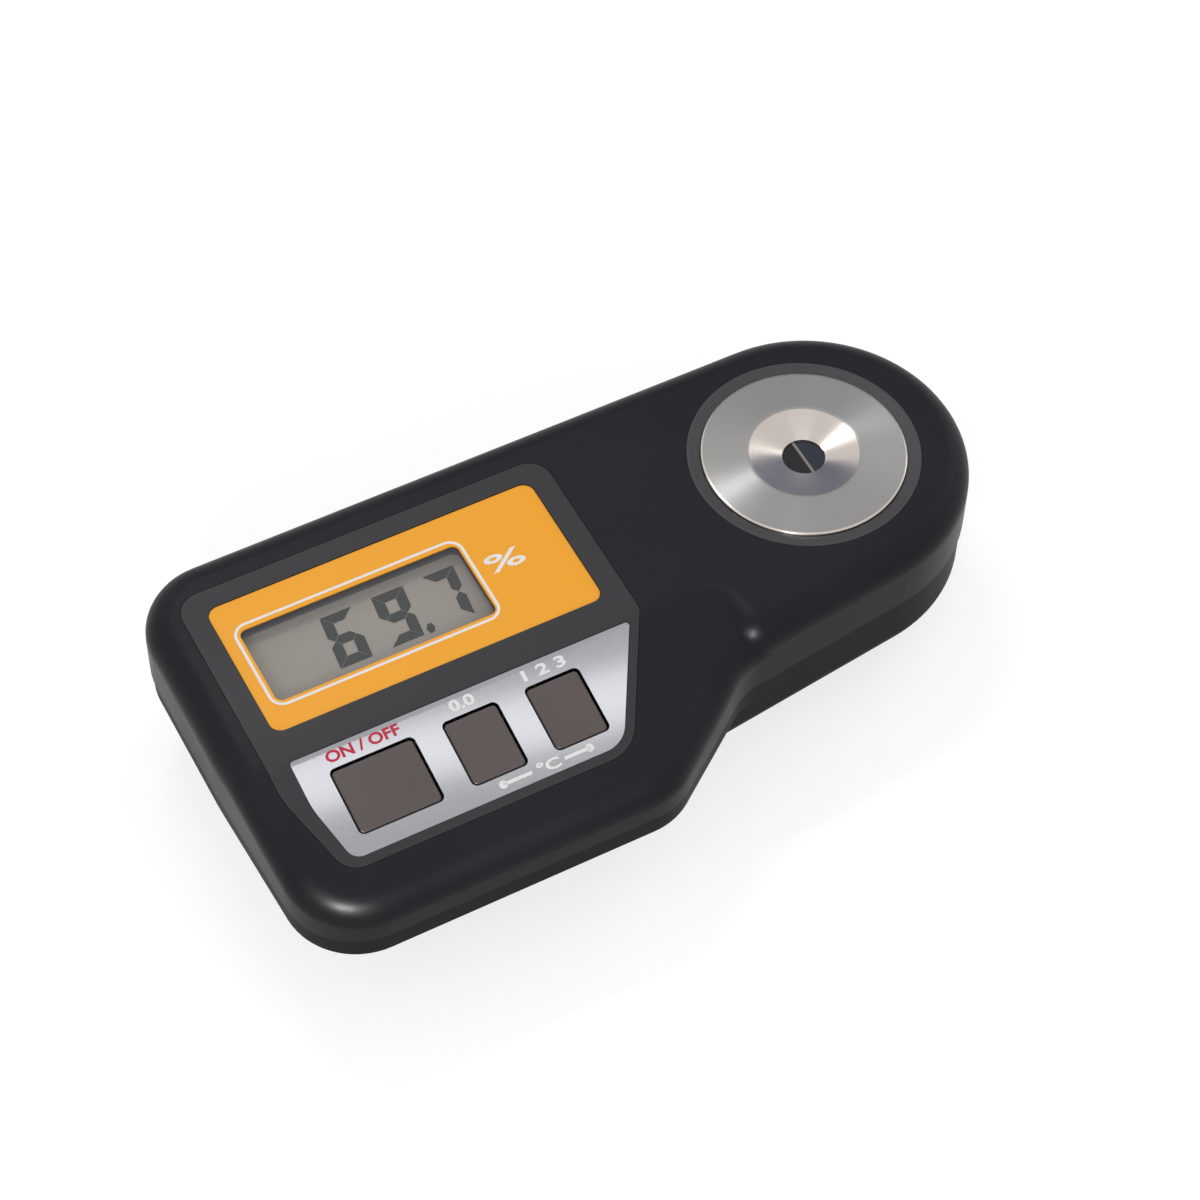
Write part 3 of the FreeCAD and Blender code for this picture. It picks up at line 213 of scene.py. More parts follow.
def turnedSteel(centre, dishRadius, radius):
    # Stainless steel faced on a lathe: fine concentric tool marks draw the light into radial streaks,
    # and the dish and the outer edge are polished to a lower roughness and given a brighter, warmer colour as
    # a painted highlight
    material, tree, shader = newMaterial("turned_stainless", Metallic=1.0, Anisotropic=0.85)
    centred = objectPoint(tree, location=(-centre[0] * mm, -centre[1] * mm, 0))
    flat = addNode(tree, "ShaderNodeVectorMath", {"operation": "MULTIPLY"}, {0: centred, 1: (1, 1, 0)})
    away = addNode(tree, "ShaderNodeVectorMath", {"operation": "LENGTH"}, {0: flat.outputs["Vector"]})
    away = away.outputs["Value"]
    marks = addNode(tree, "ShaderNodeTexNoise", {"noise_dimensions": "1D"}, {
        "W": away, "Scale": 1 / (0.3 * mm), "Detail": 3.0, "Roughness": 0.7}).outputs["Fac"]
    dish = valueBetween(tree, away, 1.0, 0.0, (dishRadius - 0.1) * mm, (dishRadius + 0.2) * mm)
    edge = valueBetween(tree, away, 0.0, 1.0, (radius - 0.5) * mm, (radius - 0.3) * mm)
    polishAndPaintedHighlight = addMath(tree, "MAXIMUM", dish, edge)
    faced = colourBetween(tree, marks, "959492", "9D9C9A")
    # Painted highlight: a brighter, warmer base colour in the dish and on the outer edge; the same mask
    # lowers their roughness for the real polish
    tree.links.new(colourBetween(tree, polishAndPaintedHighlight, faced, "C6BDB6"), shader.inputs["Base Color"])
    rough = valueBetween(tree, marks, 0.19, 0.24, 0.3, 0.7)
    tree.links.new(addMath(tree, "MULTIPLY_ADD", polishAndPaintedHighlight, -0.04, rough), shader.inputs["Roughness"])
    across = addNode(tree, "ShaderNodeVectorMath", {"operation": "NORMALIZE"}, {0: flat.outputs["Vector"]})
    tree.links.new(across.outputs["Vector"], shader.inputs["Tangent"])
    addBump(tree, shader, marks, 0.004, 0.12)
    return material


def prismGlass(centre):
    # Polished optical glass over a blackened well, with painted light in its colour: one half black and one
    # half navy as painted shade of the prism's inner faces, and between them a painted highlight, the pale
    # line where the two lit faces meet
    material, tree, shader = newMaterial("optical_glass_dark", Roughness=0.05, IOR=1.7)
    shader.inputs["Specular IOR Level"].default_value = 0.2
    centred = objectPoint(tree, location=(-centre[0] * mm, -centre[1] * mm, 0))
    across = addNode(tree, "ShaderNodeSeparateXYZ", None, {"Vector": centred}).outputs["X"]
    side = valueBetween(tree, across, 0.0, 1.0, -0.6 * mm, 0.6 * mm)
    # Painted shade: the black and the navy half stand in for the prism's inner faces in shade and in light
    paintedInnerFaceShade = colourBetween(tree, side, "08090C", "1E2334")
    # Painted highlight: a pale line along the middle, where the two lit inner faces meet
    line = valueBetween(tree, addMath(tree, "ABSOLUTE", across), 1.0, 0.0, 0.12 * mm, 0.4 * mm)
    tree.links.new(colourBetween(tree, line, paintedInnerFaceShade, "8C857E"), shader.inputs["Base Color"])
    return material


def greenBoard():
    # Glass-epoxy board under green solder mask: paler lines where the copper runs
    material, tree, shader = newMaterial("green_solder_mask", Roughness=0.3)
    cells = addNode(tree, "ShaderNodeTexBrick", {"offset": 0.5}, {
        "Vector": objectPoint(tree), "Scale": 1 / (4 * mm), "Mortar Size": 0.06, "Mortar Smooth": 0.1,
        "Color1": linearColour("0E4A28"), "Color2": linearColour("10522D"), "Mortar": linearColour("2A7A48")})
    tree.links.new(cells.outputs["Color"], shader.inputs["Base Color"])
    return material


def stripedStrip(name, first, second, pitchMm, axis, metal=0.0, roughness=0.4):
    # Parallel conductors or layers: even stripes along one axis
    material, tree, shader = newMaterial(name, Roughness=roughness, Metallic=metal)
    wave = addNode(tree, "ShaderNodeTexWave", {"bands_direction": axis, "wave_profile": "SIN"}, {
        "Vector": objectPoint(tree), "Scale": 0.314 / (pitchMm * mm), "Distortion": 0.0})
    tree.links.new(colourBetween(tree, wave.outputs["Fac"], first, second), shader.inputs["Base Color"])
    return material


def clearGlass(name, tint, roughness=0.01, ior=1.52):
    # Polished glass or cast epoxy with a faint film that varies its gloss
    material, tree, shader = newMaterial(name, IOR=ior)
    shader.inputs["Base Color"].default_value = linearColour(tint)
    shader.inputs["Transmission Weight"].default_value = 1.0
    tree.links.new(valueBetween(tree, noiseOf(tree, 3, 1.0), roughness, roughness + 0.03, 0.4, 0.7),
                   shader.inputs["Roughness"])
    return material


def printInk(name, tint, specular=0.3):
    # Screen-printed ink: flat colour with slightly uneven cover
    material, tree, shader = newMaterial(name, Specular_IOR_Level=specular, Roughness=0.5)
    dark = "".join("%02X" % int(int(tint[i:i + 2], 16) * 0.94) for i in (0, 2, 4))
    tree.links.new(colourBetween(tree, noiseOf(tree, 0.8), dark, tint), shader.inputs["Base Color"])
    return material


# Sizes of the turned stage, in mm
stageValues = {
    "centre": (51.1, 11.3),
    "holeRadius": 4.4,
    "prismTop": 37.9,
    "land": 0.4,
    "dishRadius": 11.2,
    "radius": 21.06,
    "top": 40.0,
    "edge": 0.35,
    "fall": 0.25,            # the faced ring drops this much towards its edge
    "shelf": 37.6,
    "bossRadius": 17.3,
    "bottom": 34.6,
    "roomRadius": 9.7,
    "turns": 256,
}
finishes = {
    "case_black": satinCase(),
    "case_lower": satinBase(),
    "gasket_rubber": moulded("black_epdm", "08080A", "0D0D0F", 0.75, 0.3, 0.02, 0.2),
    "foot_rubber": moulded("black_rubber_foot", "121212", "191919", 0.7, 0.4, 0.03, 0.25),
    "frame_grey": greyBezel(),
    "orange_film": orangePanel(),
    "clear_window": clearWindow(),
    "lcd": displayGlass(),
    "holder_plastic": moulded("navy_black_abs", "1E2230", "252A3A", 0.5, 0.25, 0.01, 0.3),
    "strip_rubber": stripedStrip("zebra_elastomer", "C88C78", "2A2020", 0.3, "X", roughness=0.6),
    "board_green": greenBoard(),
    "chip_black": moulded("epoxy_moulding", "141414", "1C1C1C", 0.5, 0.1, 0.01),
    "component": moulded("sleeved_component", "8C7F6B", "A0937F", 0.45, 0.2, 0.01),
    "screw_steel": plated("zinc_plated_steel", "A8A8A6", 0.3, 0.15),
    "silver_panel": silverPanel(),
    "switch_plastic": moulded("glass_nylon", "2A2A2A", "333333", 0.5, 0.12, 0.01),
    "key_rubber": moulded("silicone_key", "564D4B", "5C5351", 0.5, 0.3, 0.010, 0.25),
    "stage_steel": turnedSteel(stageValues["centre"], stageValues["dishRadius"], stageValues["radius"]),
    "ring_grey": moulded("grey_acetal_ring", "3E3D40", "454447", 0.45, 0.25, 0.008, 0.25),
    "prism_glass": prismGlass(stageValues["centre"]),
    "chassis_black": moulded("black_glass_nylon", "0E0E0E", "161616", 0.6, 0.2, 0.012),
    "lens_glass": clearGlass("crown_glass", "E8F0F2"),
    "led_epoxy": clearGlass("amber_epoxy", "F0A030", 0.05, 1.55),
    "ribbon": stripedStrip("polyimide_flex", "A4601C", "C88838", 1.0, "Y", 0.2, 0.35),
    "battery_jacket": plated("lacquered_jacket", "3A3E48", 0.35, 0.4),
    "contact_metal": plated("nickel_plate", "C8C2B2", 0.28, 0.1),
    "foam": moulded("closed_cell_foam", "1A1A1C", "222224", 0.85, 0.5, 0.08, 0.2),
}
for part in frame["record"]["subparts"]:
    node = nodes[part["node"]]
    node.data.materials.clear()
    node.data.materials.append(finishes[part["material_slot"]])
print("materials set:", len(finishes))


def newTree(name, sizes):
    # A Geometry Nodes tree with a geometry input and named sizes
    tree = bpy.data.node_groups.new(name, "GeometryNodeTree")
    tree.interface.new_socket("Geometry", in_out="INPUT", socket_type="NodeSocketGeometry")
    for label, kind in sizes.items():
        tree.interface.new_socket(label, in_out="INPUT", socket_type="NodeSocket" + kind)
    tree.interface.new_socket("Material", in_out="INPUT", socket_type="NodeSocketMaterial")
    tree.interface.new_socket("Geometry", in_out="OUTPUT", socket_type="NodeSocketGeometry")
    return tree, addNode(tree, "NodeGroupInput").outputs


def endTree(tree, geometry, material):
    real = addNode(tree, "GeometryNodeRealizeInstances", None, {"Geometry": geometry})
    dressed = addNode(tree, "GeometryNodeSetMaterial", None, {
        "Geometry": real.outputs["Geometry"], "Material": material})
    addNode(tree, "NodeGroupOutput", None, {"Geometry": dressed.outputs["Geometry"]})


def tidied(mesh, sharpDegrees, scale=1.0):
    # Doubles merged, faces outwards, and curves shaded smoothly up to the given angle
    shape = bmesh.new()
    shape.from_mesh(mesh)
    bmesh.ops.scale(shape, vec=(scale, scale, scale), verts=shape.verts)
    bmesh.ops.remove_doubles(shape, verts=shape.verts, dist=0.001 * mm)
    bmesh.ops.recalc_face_normals(shape, faces=shape.faces)
    limit = math.radians(sharpDegrees)
    for face in shape.faces:
        face.smooth = sharpDegrees > 0
    for edge in shape.edges:
        edge.smooth = len(edge.link_faces) == 2 and edge.calc_face_angle(0) < limit
    shape.to_mesh(mesh)
    shape.free()
    return mesh


def grown(pieceName, tree, start, values, sharpDegrees):
    # Runs a tree on a start mesh drawn in mm and keeps the result as a plain mesh in metres
    source = addObject(pieceName + "Start", start)
    modifier = source.modifiers.new("grow", "NODES")
    modifier.node_group = tree
    for item in tree.interface.items_tree:
        if item.in_out == "INPUT" and item.name in values:
            modifier[item.identifier] = values[item.name]
    depsgraph = bpy.context.evaluated_depsgraph_get()
    mesh = bpy.data.meshes.new_from_object(source.evaluated_get(depsgraph), depsgraph=depsgraph)
    bpy.data.objects.remove(source)
    mesh.name = pieceName
    return addObject(pieceName, tidied(mesh, sharpDegrees, mm))


def startMesh(name, points, edges=()):
    mesh = bpy.data.meshes.new(name)
    mesh.from_pydata(points, edges, [])
    return mesh


def swept(tree, path, profile, caps=False):
    # A profile curve carried along a level path without twisting
    upright = addNode(tree, "GeometryNodeSetCurveNormal", {"mode": "Z_UP"}, {"Curve": path})
    return addNode(tree, "GeometryNodeCurveToMesh", None, {
        "Curve": upright.outputs["Curve"], "Profile Curve": profile, "Fill Caps": caps}).outputs["Mesh"]


def rectangle(tree, width, height):
    return addNode(tree, "GeometryNodeCurvePrimitiveQuadrilateral", None, {
        "Width": width, "Height": height}).outputs["Curve"]


def movedTo(tree, geometry, centre):
    return addNode(tree, "GeometryNodeTransform", None, {
        "Geometry": geometry, "Translation": centre}).outputs["Geometry"]


def latheTree():
    # Sweeps a closed profile round a circle: the profile's x is radius less the axis circle's own
    # radius, and its y is depth below the origin
    tree, sizes = newTree("stageLathe", {"Axis radius": "Float", "Turns": "Int", "Centre": "Vector"})
    profile = addNode(tree, "GeometryNodeMeshToCurve", None, {"Mesh": sizes["Geometry"]})
    circle = addNode(tree, "GeometryNodeCurvePrimitiveCircle", None, {
        "Resolution": sizes["Turns"], "Radius": sizes["Axis radius"]})
    turned = swept(tree, circle.outputs["Curve"], profile.outputs["Curve"])
    endTree(tree, movedTo(tree, turned, sizes["Centre"]), sizes["Material"])
    return tree


def stageProfile(axisRadius):
    # Radius and height along the section of the stage, with its two top edges rounded
    s = stageValues
    round4 = [math.radians(a) for a in (90, 67.5, 45, 22.5, 0)]
    side = s["radius"] - s["edge"]
    level = s["top"] - s["fall"]
    rim = [(side + s["edge"] * math.cos(a), level - s["edge"] + s["edge"] * math.sin(a)) for a in round4]
    slope = math.atan2(s["top"] - s["prismTop"] - s["land"], s["dishRadius"] - s["holeRadius"])
    lip = [(s["dishRadius"] + 0.6 * k, s["top"] - 0.2 * math.tan(slope) * (1 - k) ** 2)
           for k in (0, 0.5, 1)]
    section = [
        (s["holeRadius"], s["prismTop"]),
        (s["holeRadius"], s["prismTop"] + s["land"]),
        *lip,
        (s["dishRadius"] + 0.9, s["top"]),
        (side - 0.3, level),
        *rim,
        (s["radius"], s["shelf"]),
        (s["bossRadius"], s["shelf"]),
        (s["bossRadius"], s["bottom"]),
        (s["roomRadius"], s["bottom"]),
        (s["roomRadius"], s["prismTop"]),
    ]
    points = [(r - axisRadius, -z, 0) for r, z in section]
    edges = [(i, (i + 1) % len(points)) for i in range(len(points))]
    return startMesh("stageSection", points, edges)


axisRadius = 12.0
stage = grown("turned_stage", latheTree(), stageProfile(axisRadius), {
    "Axis radius": axisRadius, "Turns": stageValues["turns"],
    "Centre": (*stageValues["centre"], 0.0), "Material": finishes["stage_steel"]}, 12)
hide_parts("sample_stage")
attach(stage, "case")
print("stage turned:", len(stage.data.polygons), "faces")


def onSlope(y, lift):
    # Height in mm of a point over the silver keypad film
    tilt = math.radians(topFace["tilt"])
    rise = (y - topFace["foldY"]) * math.tan(tilt)
    return topFace["height"] + rise + (lift - topFace["keyPanelDrop"]) / math.cos(tilt)


inks = {
    "white": printInk("white_screen_ink", "F6F3F2"),
    "red": printInk("red_screen_ink", "C4203F"),
    "segment": printInk("lcd_dark_segment", "1E1C1B", 0.1),
}
printValues = {
    "lift": 0.01,            # ink stands this far off its film, in mm
    "thickness": 0.03,
    # words, ink, weight of the strokes, lowest x, highest x, lowest y, highest y
    "percentSign": ("%", "white", 0.012, -19.2, -11.2, 12.6, 17.0),
    "startLegend": ("ON / OFF", "red", 0.03, -66.6, -51.2, -12.9, -10.5),
    "zeroLegend": ("0.0", "white", 0.03, -40.6, -35.4, -13.0, -10.6),
    "scaleLegend": ("1 2 3", "white", 0.03, -24.9, -15.7, -13.0, -10.6),
    "temperatureLegend": ("°C", "white", 0.03, -31.0, -26.2, -31.35, -29.0),
}


def printedWord(name, sloped):
    # Words as a thin plate of ink, fitted to their box and laid on their face
    words, ink, weight, x0, x1, y0, y1 = printValues[name]
    curve = bpy.data.curves.new(name, "FONT")
    curve.body = words
    curve.offset = weight
    curve.extrude = 0.01
    text = addObject(name, curve)
    depsgraph = bpy.context.evaluated_depsgraph_get()
    mesh = bpy.data.meshes.new_from_object(text.evaluated_get(depsgraph), depsgraph=depsgraph)
    bpy.data.objects.remove(text)
    lows = [min(v.co[i] for v in mesh.vertices) for i in range(3)]
    highs = [max(v.co[i] for v in mesh.vertices) for i in range(3)]
    for v in mesh.vertices:
        part = [(v.co[i] - lows[i]) / (highs[i] - lows[i]) for i in range(3)]
        x = x0 + part[0] * (x1 - x0)
        y = y0 + part[1] * (y1 - y0)
        lift = printValues["lift"] + part[2] * printValues["thickness"]
        z = onSlope(y, lift) if sloped else topFace["height"] - topFace["filmDrop"] + lift
        v.co = (x * mm, y * mm, z * mm)
    piece = addObject(name, tidied(mesh, 0))
    piece.data.materials.clear()
    piece.data.materials.append(inks[ink])
    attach(piece, "case")
    return piece


printedWord("percentSign", False)
for legend in ("startLegend", "zeroLegend", "scaleLegend", "temperatureLegend"):
    printedWord(legend, True)

# White line printed round the window
borderValues = {"left": -70.25, "right": -21.4, "front": 3.0, "back": 23.9, "corner": 2.8, "line": 0.6}


def borderTree():
    # A rounded rectangle drawn as a flat band of ink
    tree, sizes = newTree("windowBorder", {
        "Width": "Float", "Height": "Float", "Corner": "Float", "Line": "Float", "Thickness": "Float",
        "Centre": "Vector"})
    rounded = addNode(tree, "GeometryNodeFilletCurve", {"mode": "POLY"}, {
        "Curve": rectangle(tree, sizes["Width"], sizes["Height"]), "Count": 12, "Radius": sizes["Corner"]})
    line = swept(tree, rounded.outputs["Curve"], rectangle(tree, sizes["Line"], sizes["Thickness"]))
    endTree(tree, movedTo(tree, line, sizes["Centre"]), sizes["Material"])
    return tree


sides = borderValues
border = grown("window_border", borderTree(), startMesh("borderStart", [(0, 0, 0)]), {
    "Width": sides["right"] - sides["left"], "Height": sides["back"] - sides["front"],
    "Corner": sides["corner"], "Line": sides["line"], "Thickness": printValues["thickness"],
    "Centre": ((sides["left"] + sides["right"]) / 2, (sides["front"] + sides["back"]) / 2,
               topFace["height"] - topFace["filmDrop"] + printValues["thickness"]),
    "Material": inks["white"]}, 0)
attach(border, "case")

# Line with a dot at each end under the two small keys
ruleValues = {"y": -30.2, "runs": ((-38.3, -32.2), (-25.2, -19.8)), "width": 0.7, "dot": 0.85, "sides": 24}


def ruleTree():
    # Two runs of line drawn by their edges, with a round dot on every marked point
    tree, sizes = newTree("legendRule", {
        "Line width": "Float", "Dot radius": "Float", "Sides": "Int", "Thickness": "Float"})
    runs = addNode(tree, "GeometryNodeMeshToCurve", None, {"Mesh": sizes["Geometry"]})
    band = rectangle(tree, sizes["Line width"], sizes["Thickness"])
    line = swept(tree, runs.outputs["Curve"], band, caps=True)
    marked = addNode(tree, "GeometryNodeInputNamedAttribute", {"data_type": "FLOAT"}, {"Name": "dot"})
    dot = addNode(tree, "GeometryNodeMeshCylinder", None, {
        "Vertices": sizes["Sides"], "Radius": sizes["Dot radius"], "Depth": sizes["Thickness"]})
    dots = addNode(tree, "GeometryNodeInstanceOnPoints", None, {
        "Points": sizes["Geometry"], "Selection": marked.outputs["Attribute"],
        "Instance": dot.outputs["Mesh"]})
    both = addNode(tree, "GeometryNodeJoinGeometry")
    tree.links.new(line, both.inputs["Geometry"])
    tree.links.new(dots.outputs["Instances"], both.inputs["Geometry"])
    endTree(tree, both.outputs["Geometry"], sizes["Material"])
    return tree


ruleStart = startMesh("ruleStart", [(x, 0, 0) for run in ruleValues["runs"] for x in run], [(0, 1), (2, 3)])
ruleStart.attributes.new("dot", "FLOAT", "POINT").data.foreach_set("value", (1.0, 0.0, 0.0, 1.0))
rule = grown("legend_rule", ruleTree(), ruleStart, {
    "Line width": ruleValues["width"], "Dot radius": ruleValues["dot"], "Sides": ruleValues["sides"],
    "Thickness": printValues["thickness"], "Material": inks["white"]}, 0)
ruleHeight = onSlope(ruleValues["y"], printValues["lift"])
rule.data.transform(Matrix.Translation((0, ruleValues["y"] * mm, ruleHeight * mm))
                    @ Matrix.Rotation(math.radians(topFace["tilt"]), 4, "X"))
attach(rule, "case")
print("print laid on both films")

# Figures of the liquid crystal display, in mm: seven bars to a figure
displayValues = {
    "left": (-54.4, -43.25, -32.1),
    "figures": ("6", "9", "7"),
    "front": 7.8,
    "width": 6.9,
    "height": 12.8,
    "bar": 2.25,
    "gap": 0.07,
    "lean": 6.0,                 # degrees
    "level": 36.0,               # top of the display glass
    "thickness": 0.04,
    "point": (-34.6, 8.7, 0.4),  # place and length against a level bar
}
litBars = {"6": "acdefg", "7": "abc", "9": "abcdfg"}


def barShape(tree, halfLength, halfWidth, thickness, mitres):
    # A bar with pointed ends; an end marked 1 in mitres is cut straight across at 45 degrees instead,
    # with its long side at +Y
    bar = addNode(tree, "GeometryNodeMeshCylinder", None, {"Vertices": 6, "Radius": 1.0, "Depth": thickness})
    corner = addNode(tree, "ShaderNodeSeparateXYZ", None, {
        "Vector": addNode(tree, "GeometryNodeInputPosition").outputs["Position"]}).outputs
    across = addMath(tree, "MULTIPLY", corner["Y"], halfWidth)
    point = addMath(tree, "ABSOLUTE", across)
    end = addMath(tree, "SIGN", corner["X"])
    mitred = valueBetween(tree, end, mitres[0], mitres[1], -1, 1)
    change = addMath(tree, "ADD", across, point)
    inset = addMath(tree, "SUBTRACT", point, addMath(tree, "MULTIPLY", change, mitred))
    along = addMath(tree, "MULTIPLY", end, addMath(tree, "SUBTRACT", halfLength, inset))
    outline = addNode(tree, "ShaderNodeCombineXYZ", None, {"X": along, "Y": across, "Z": corner["Z"]})
    return addNode(tree, "GeometryNodeSetPosition", None, {
        "Geometry": bar.outputs["Mesh"], "Position": outline.outputs["Vector"]}).outputs["Geometry"]


def barTree():
    # The bar of its kind on every point, turned and flipped as the point says, and all leaned together
    tree, sizes = newTree("displayBars", {
        "Half level": "Float", "Half upright": "Float", "Half width": "Float", "Thickness": "Float",
        "Lean": "Float", "Front": "Float", "Level": "Float"})
    told = {}
    for label in ("kind", "turn", "flip", "size"):
        told[label] = addNode(tree, "GeometryNodeInputNamedAttribute", {"data_type": "FLOAT"}, {
            "Name": label}).outputs["Attribute"]
    scale = addNode(tree, "ShaderNodeCombineXYZ", None, {"X": told["size"], "Y": told["flip"], "Z": 1.0})
    angle = addNode(tree, "ShaderNodeCombineXYZ", None, {"Z": told["turn"]})
    every = addNode(tree, "GeometryNodeJoinGeometry")
    kinds = (("Half level", (0, 0)), ("Half level", (1, 1)), ("Half upright", (0, 1)))
    for kind, (length, mitres) in enumerate(kinds):
        chosen = addNode(tree, "FunctionNodeCompare", {"operation": "EQUAL"}, {
            0: told["kind"], 1: float(kind)})
        shape = barShape(tree, sizes[length], sizes["Half width"], sizes["Thickness"], mitres)
        bars = addNode(tree, "GeometryNodeInstanceOnPoints", None, {
            "Points": sizes["Geometry"], "Selection": chosen.outputs["Result"], "Instance": shape,
            "Rotation": angle.outputs["Vector"], "Scale": scale.outputs["Vector"]})
        tree.links.new(bars.outputs["Instances"], every.inputs["Geometry"])
    real = addNode(tree, "GeometryNodeRealizeInstances", None, {"Geometry": every.outputs["Geometry"]})
    where = addNode(tree, "ShaderNodeSeparateXYZ", None, {
        "Vector": addNode(tree, "GeometryNodeInputPosition").outputs["Position"]})
    shift = addMath(tree, "MULTIPLY", addMath(tree, "SUBTRACT", where.outputs["Y"], sizes["Front"]),
                    sizes["Lean"])
    move = addNode(tree, "ShaderNodeCombineXYZ", None, {"X": shift, "Z": sizes["Level"]})
    leaned = addNode(tree, "GeometryNodeSetPosition", None, {
        "Geometry": real.outputs["Geometry"], "Offset": move.outputs["Vector"]})
    endTree(tree, leaned.outputs["Geometry"], sizes["Material"])
    return tree


def barPoints():
    # Centre, kind, turn, flip and size of each lit bar
    d = displayValues
    across = (d["width"] - d["bar"]) / 2
    along = (d["height"] - d["bar"]) / 4
    up = math.radians(90)
    places = {
        "a": (0, 4 * along, 1, 0.0, 1), "g": (0, 2 * along, 0, 0.0, 1), "d": (0, 0, 1, 0.0, -1),
        "f": (-across, 3 * along, 2, up, 1), "b": (across, 3 * along, 2, up, -1),
        "e": (-across, along, 2, -up, -1), "c": (across, along, 2, -up, 1),
    }
    found = []
    for left, figure in zip(d["left"], d["figures"]):
        for letter in litBars[figure]:
            x, y, *how = places[letter]
            found.append((left + d["width"] / 2 + x, d["front"] + d["bar"] / 2 + y, *how, 1.0))
    x, y, size = d["point"]
    found.append((x, y, 0, 0.0, 1, size))
    return found


barsAt = barPoints()
barStart = startMesh("barStart", [(row[0], row[1], 0) for row in barsAt])
for place, label in enumerate(("kind", "turn", "flip", "size"), 2):
    told = barStart.attributes.new(label, "FLOAT", "POINT")
    told.data.foreach_set("value", [float(row[place]) for row in barsAt])
figures = grown("display_figures", barTree(), barStart, {
    "Half level": (displayValues["width"] - displayValues["bar"]) / 2 - displayValues["gap"],
    "Half upright": (displayValues["height"] - displayValues["bar"]) / 4 - displayValues["gap"],
    "Half width": displayValues["bar"] / 2 / math.cos(math.radians(30)),
    "Thickness": displayValues["thickness"], "Lean": math.tan(math.radians(displayValues["lean"])),
    "Front": displayValues["front"], "Level": displayValues["level"] + displayValues["thickness"],
    "Material": inks["segment"]}, 0)
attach(figures, "case")
print("display figures set:", len(barsAt), "bars")

# Camera fitted to the photograph, in mm
cameraValues = {
    "place": (-196.6, -350.9, 574.0),
    "right": (0.8839, -0.4673, 0.0155),
    "up": (0.3666, 0.7133, 0.5974),
    "back": (-0.2903, -0.5224, 0.8018),
    "lens": 102.0,
    "sensor": 36.0,
    "nearest": 10.0,
}
cameraData = bpy.data.cameras.new("photographCamera")
cameraData.lens = cameraValues["lens"]
cameraData.sensor_width = cameraValues["sensor"]
cameraData.sensor_fit = "HORIZONTAL"
cameraData.clip_start = cameraValues["nearest"] * mm
camera = addObject("photographCamera", cameraData)
axes = Matrix((cameraValues["right"], cameraValues["up"], cameraValues["back"])).transposed()
camera.matrix_world = Matrix.Translation(Vector(cameraValues["place"]) * mm) @ axes.to_4x4()
bpy.context.scene.camera = camera

studio = {
    "worldLight": 0.6,
    "floorSize": 6.0,
    "floorTone": "AAAAAA",
    "floorGlow": 0.68,
    # Glowing dark blue-grey screen behind the object, seen only by reflections: a painted reflection for the
    # polished dish to mirror
    "screen": {"middle": (0.051, 0.011), "distance": 0.6, "low": 0.27, "high": 0.6, "from": 18, "to": 84,
               "steps": 12, "tone": "6C7690"},
}
world = bpy.data.worlds.new("paleStudio")
bpy.context.scene.world = world
world.use_nodes = True
tree = world.node_tree
background = tree.nodes["Background"]


def backdropSeen(tree):
    # 1 for camera, glossy and transmission rays, which see the white backdrop
    rays = addNode(tree, "ShaderNodeLightPath")
    seen = rays.outputs["Is Camera Ray"]
    for kind in ("Is Glossy Ray", "Is Transmission Ray"):
        seen = addMath(tree, "MAXIMUM", seen, rays.outputs[kind])
    return seen


tree.links.new(valueBetween(tree, backdropSeen(tree), studio["worldLight"], 1.0),
               background.inputs["Strength"])
background.inputs["Color"].default_value = (1, 1, 1, 1)


def softBox(name, place, size, watts, aim=(0, 0, 0.03), turn=None, spread=180, lightsMatt=True):
    # An area lamp in metres and watts that looks at its aim, or straight down with a turn in degrees
    lampData = bpy.data.lights.new(name, "AREA")
    lampData.shape = "RECTANGLE"
    lampData.size, lampData.size_y = size
    lampData.energy = watts
    lampData.spread = math.radians(spread)
    lamp = addObject(name, lampData)
    lamp.visible_diffuse = lightsMatt
    if turn is None:
        look = (Vector(aim) - Vector(place)).to_track_quat("-Z", "Y").to_matrix().to_4x4()
    else:
        look = Matrix.Rotation(math.radians(turn), 4, "Z")
    lamp.matrix_world = Matrix.Translation(Vector(place)) @ look


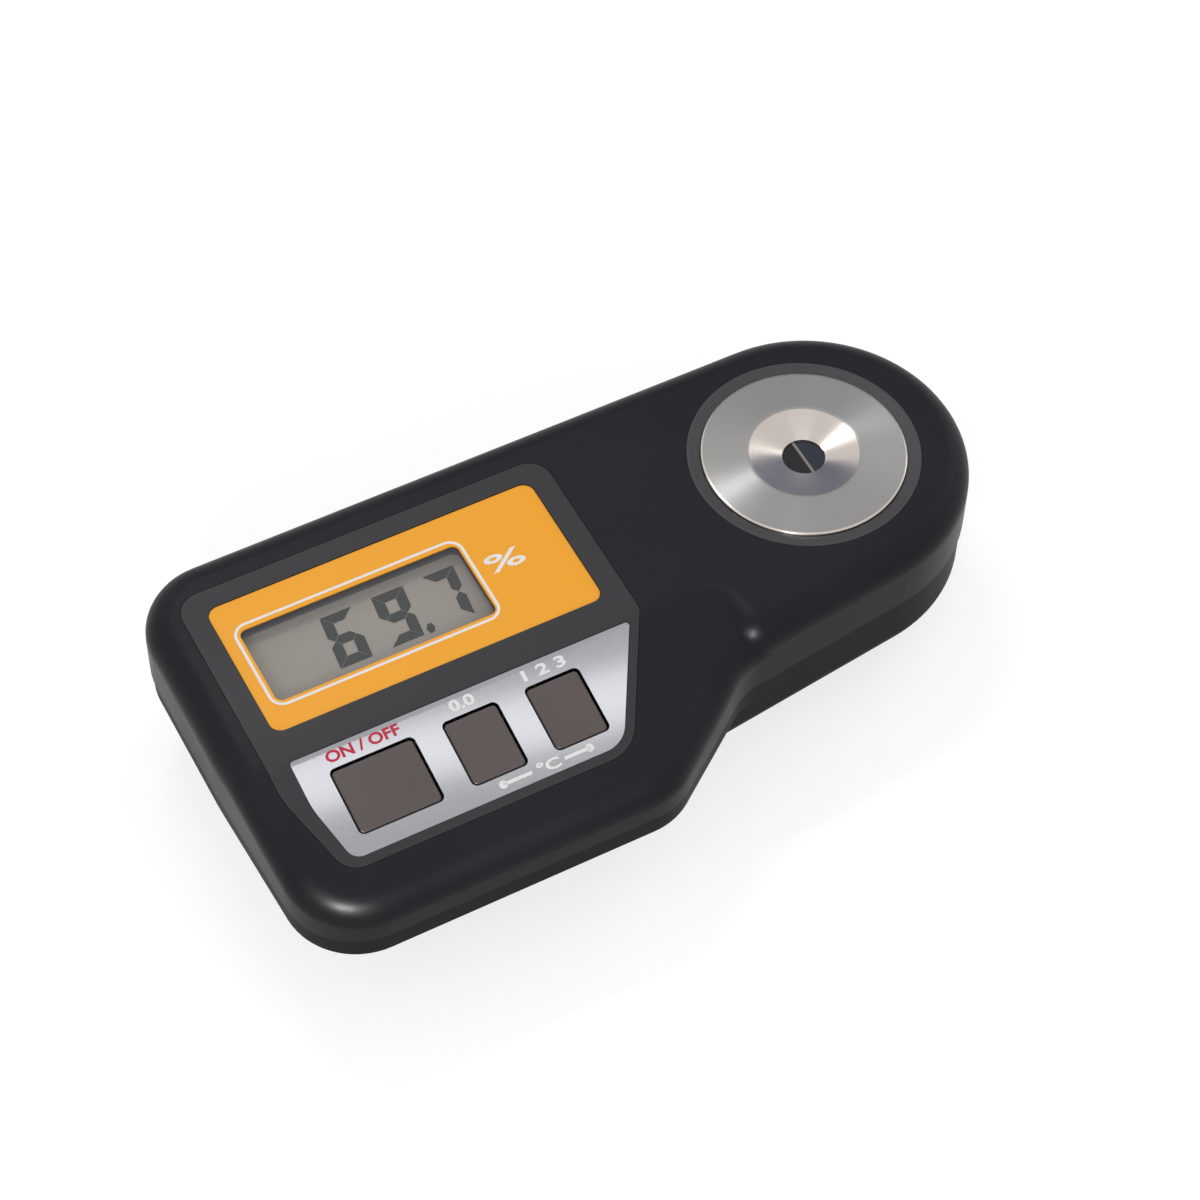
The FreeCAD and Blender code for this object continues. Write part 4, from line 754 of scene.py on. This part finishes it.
# The strip follows the band of light on the silver film, and the back box lights the left side of the
# stage; the glint box is gridded and aimed at the front left corner, for its highlight alone
softBox("stripBox", (0.203, 0.146, 1.0), (0.27, 0.03), 0.034, turn=-7.4)
softBox("backBox", (0.03, 0.522, 0.9), (0.3, 0.06), 1.5)
softBox("cornerBox", (-0.5, -0.65, 0.58), (0.16, 0.12), 1.4)
softBox("glintBox", (-0.5, -0.65, 0.58), (0.16, 0.12), 0.4, aim=(-0.075, -0.035, 0.033), spread=14,
        lightsMatt=False)
softBox("sideBox", (0.8, 0.3, 0.55), (0.6, 0.5), 1.4)

half = studio["floorSize"] / 2
floorMesh = bpy.data.meshes.new("floor")
floorMesh.from_pydata([(-half, -half, 0), (half, -half, 0), (half, half, 0), (-half, half, 0)], [],
                      [(0, 1, 2, 3)])
floor = addObject("floor", floorMesh)
paper, tree, shader = newMaterial("white_paper_sweep", Roughness=0.9)
shader.inputs["Base Color"].default_value = linearColour(studio["floorTone"])
tree.links.new(valueBetween(tree, backdropSeen(tree), 0.0, studio["floorGlow"]),
               shader.inputs["Emission Strength"])
shader.inputs["Emission Color"].default_value = (1, 1, 1, 1)
floor.data.materials.append(paper)

dark = studio["screen"]
walls = []
for step in range(dark["steps"] + 1):
    a = math.radians(dark["from"] + (dark["to"] - dark["from"]) * step / dark["steps"])
    x = dark["middle"][0] + dark["distance"] * math.cos(a)
    y = dark["middle"][1] + dark["distance"] * math.sin(a)
    walls += [(x, y, dark["low"]), (x, y, dark["high"])]
screenMesh = bpy.data.meshes.new("darkScreen")
screenMesh.from_pydata(walls, [], [(2 * i, 2 * i + 1, 2 * i + 3, 2 * i + 2) for i in range(dark["steps"])])
screen = addObject("darkScreen", screenMesh)
for ray in ("camera", "diffuse", "transmission", "shadow"):
    setattr(screen, "visible_" + ray, False)
# Painted reflection: the screen glows a dim blue-grey and is seen only by glossy rays, to put a dark crescent
# into the dish
screenGlow, tree, shader = newMaterial("glowing_reflection_screen", Roughness=1.0, Specular_IOR_Level=0.0, Emission_Strength=1.0)
shader.inputs["Base Color"].default_value = (0, 0, 0, 1)
shader.inputs["Emission Color"].default_value = linearColour(dark["tone"])
screen.data.materials.append(screenGlow)
bpy.context.scene.view_settings.view_transform = "Standard"
print("camera, light and floor set")
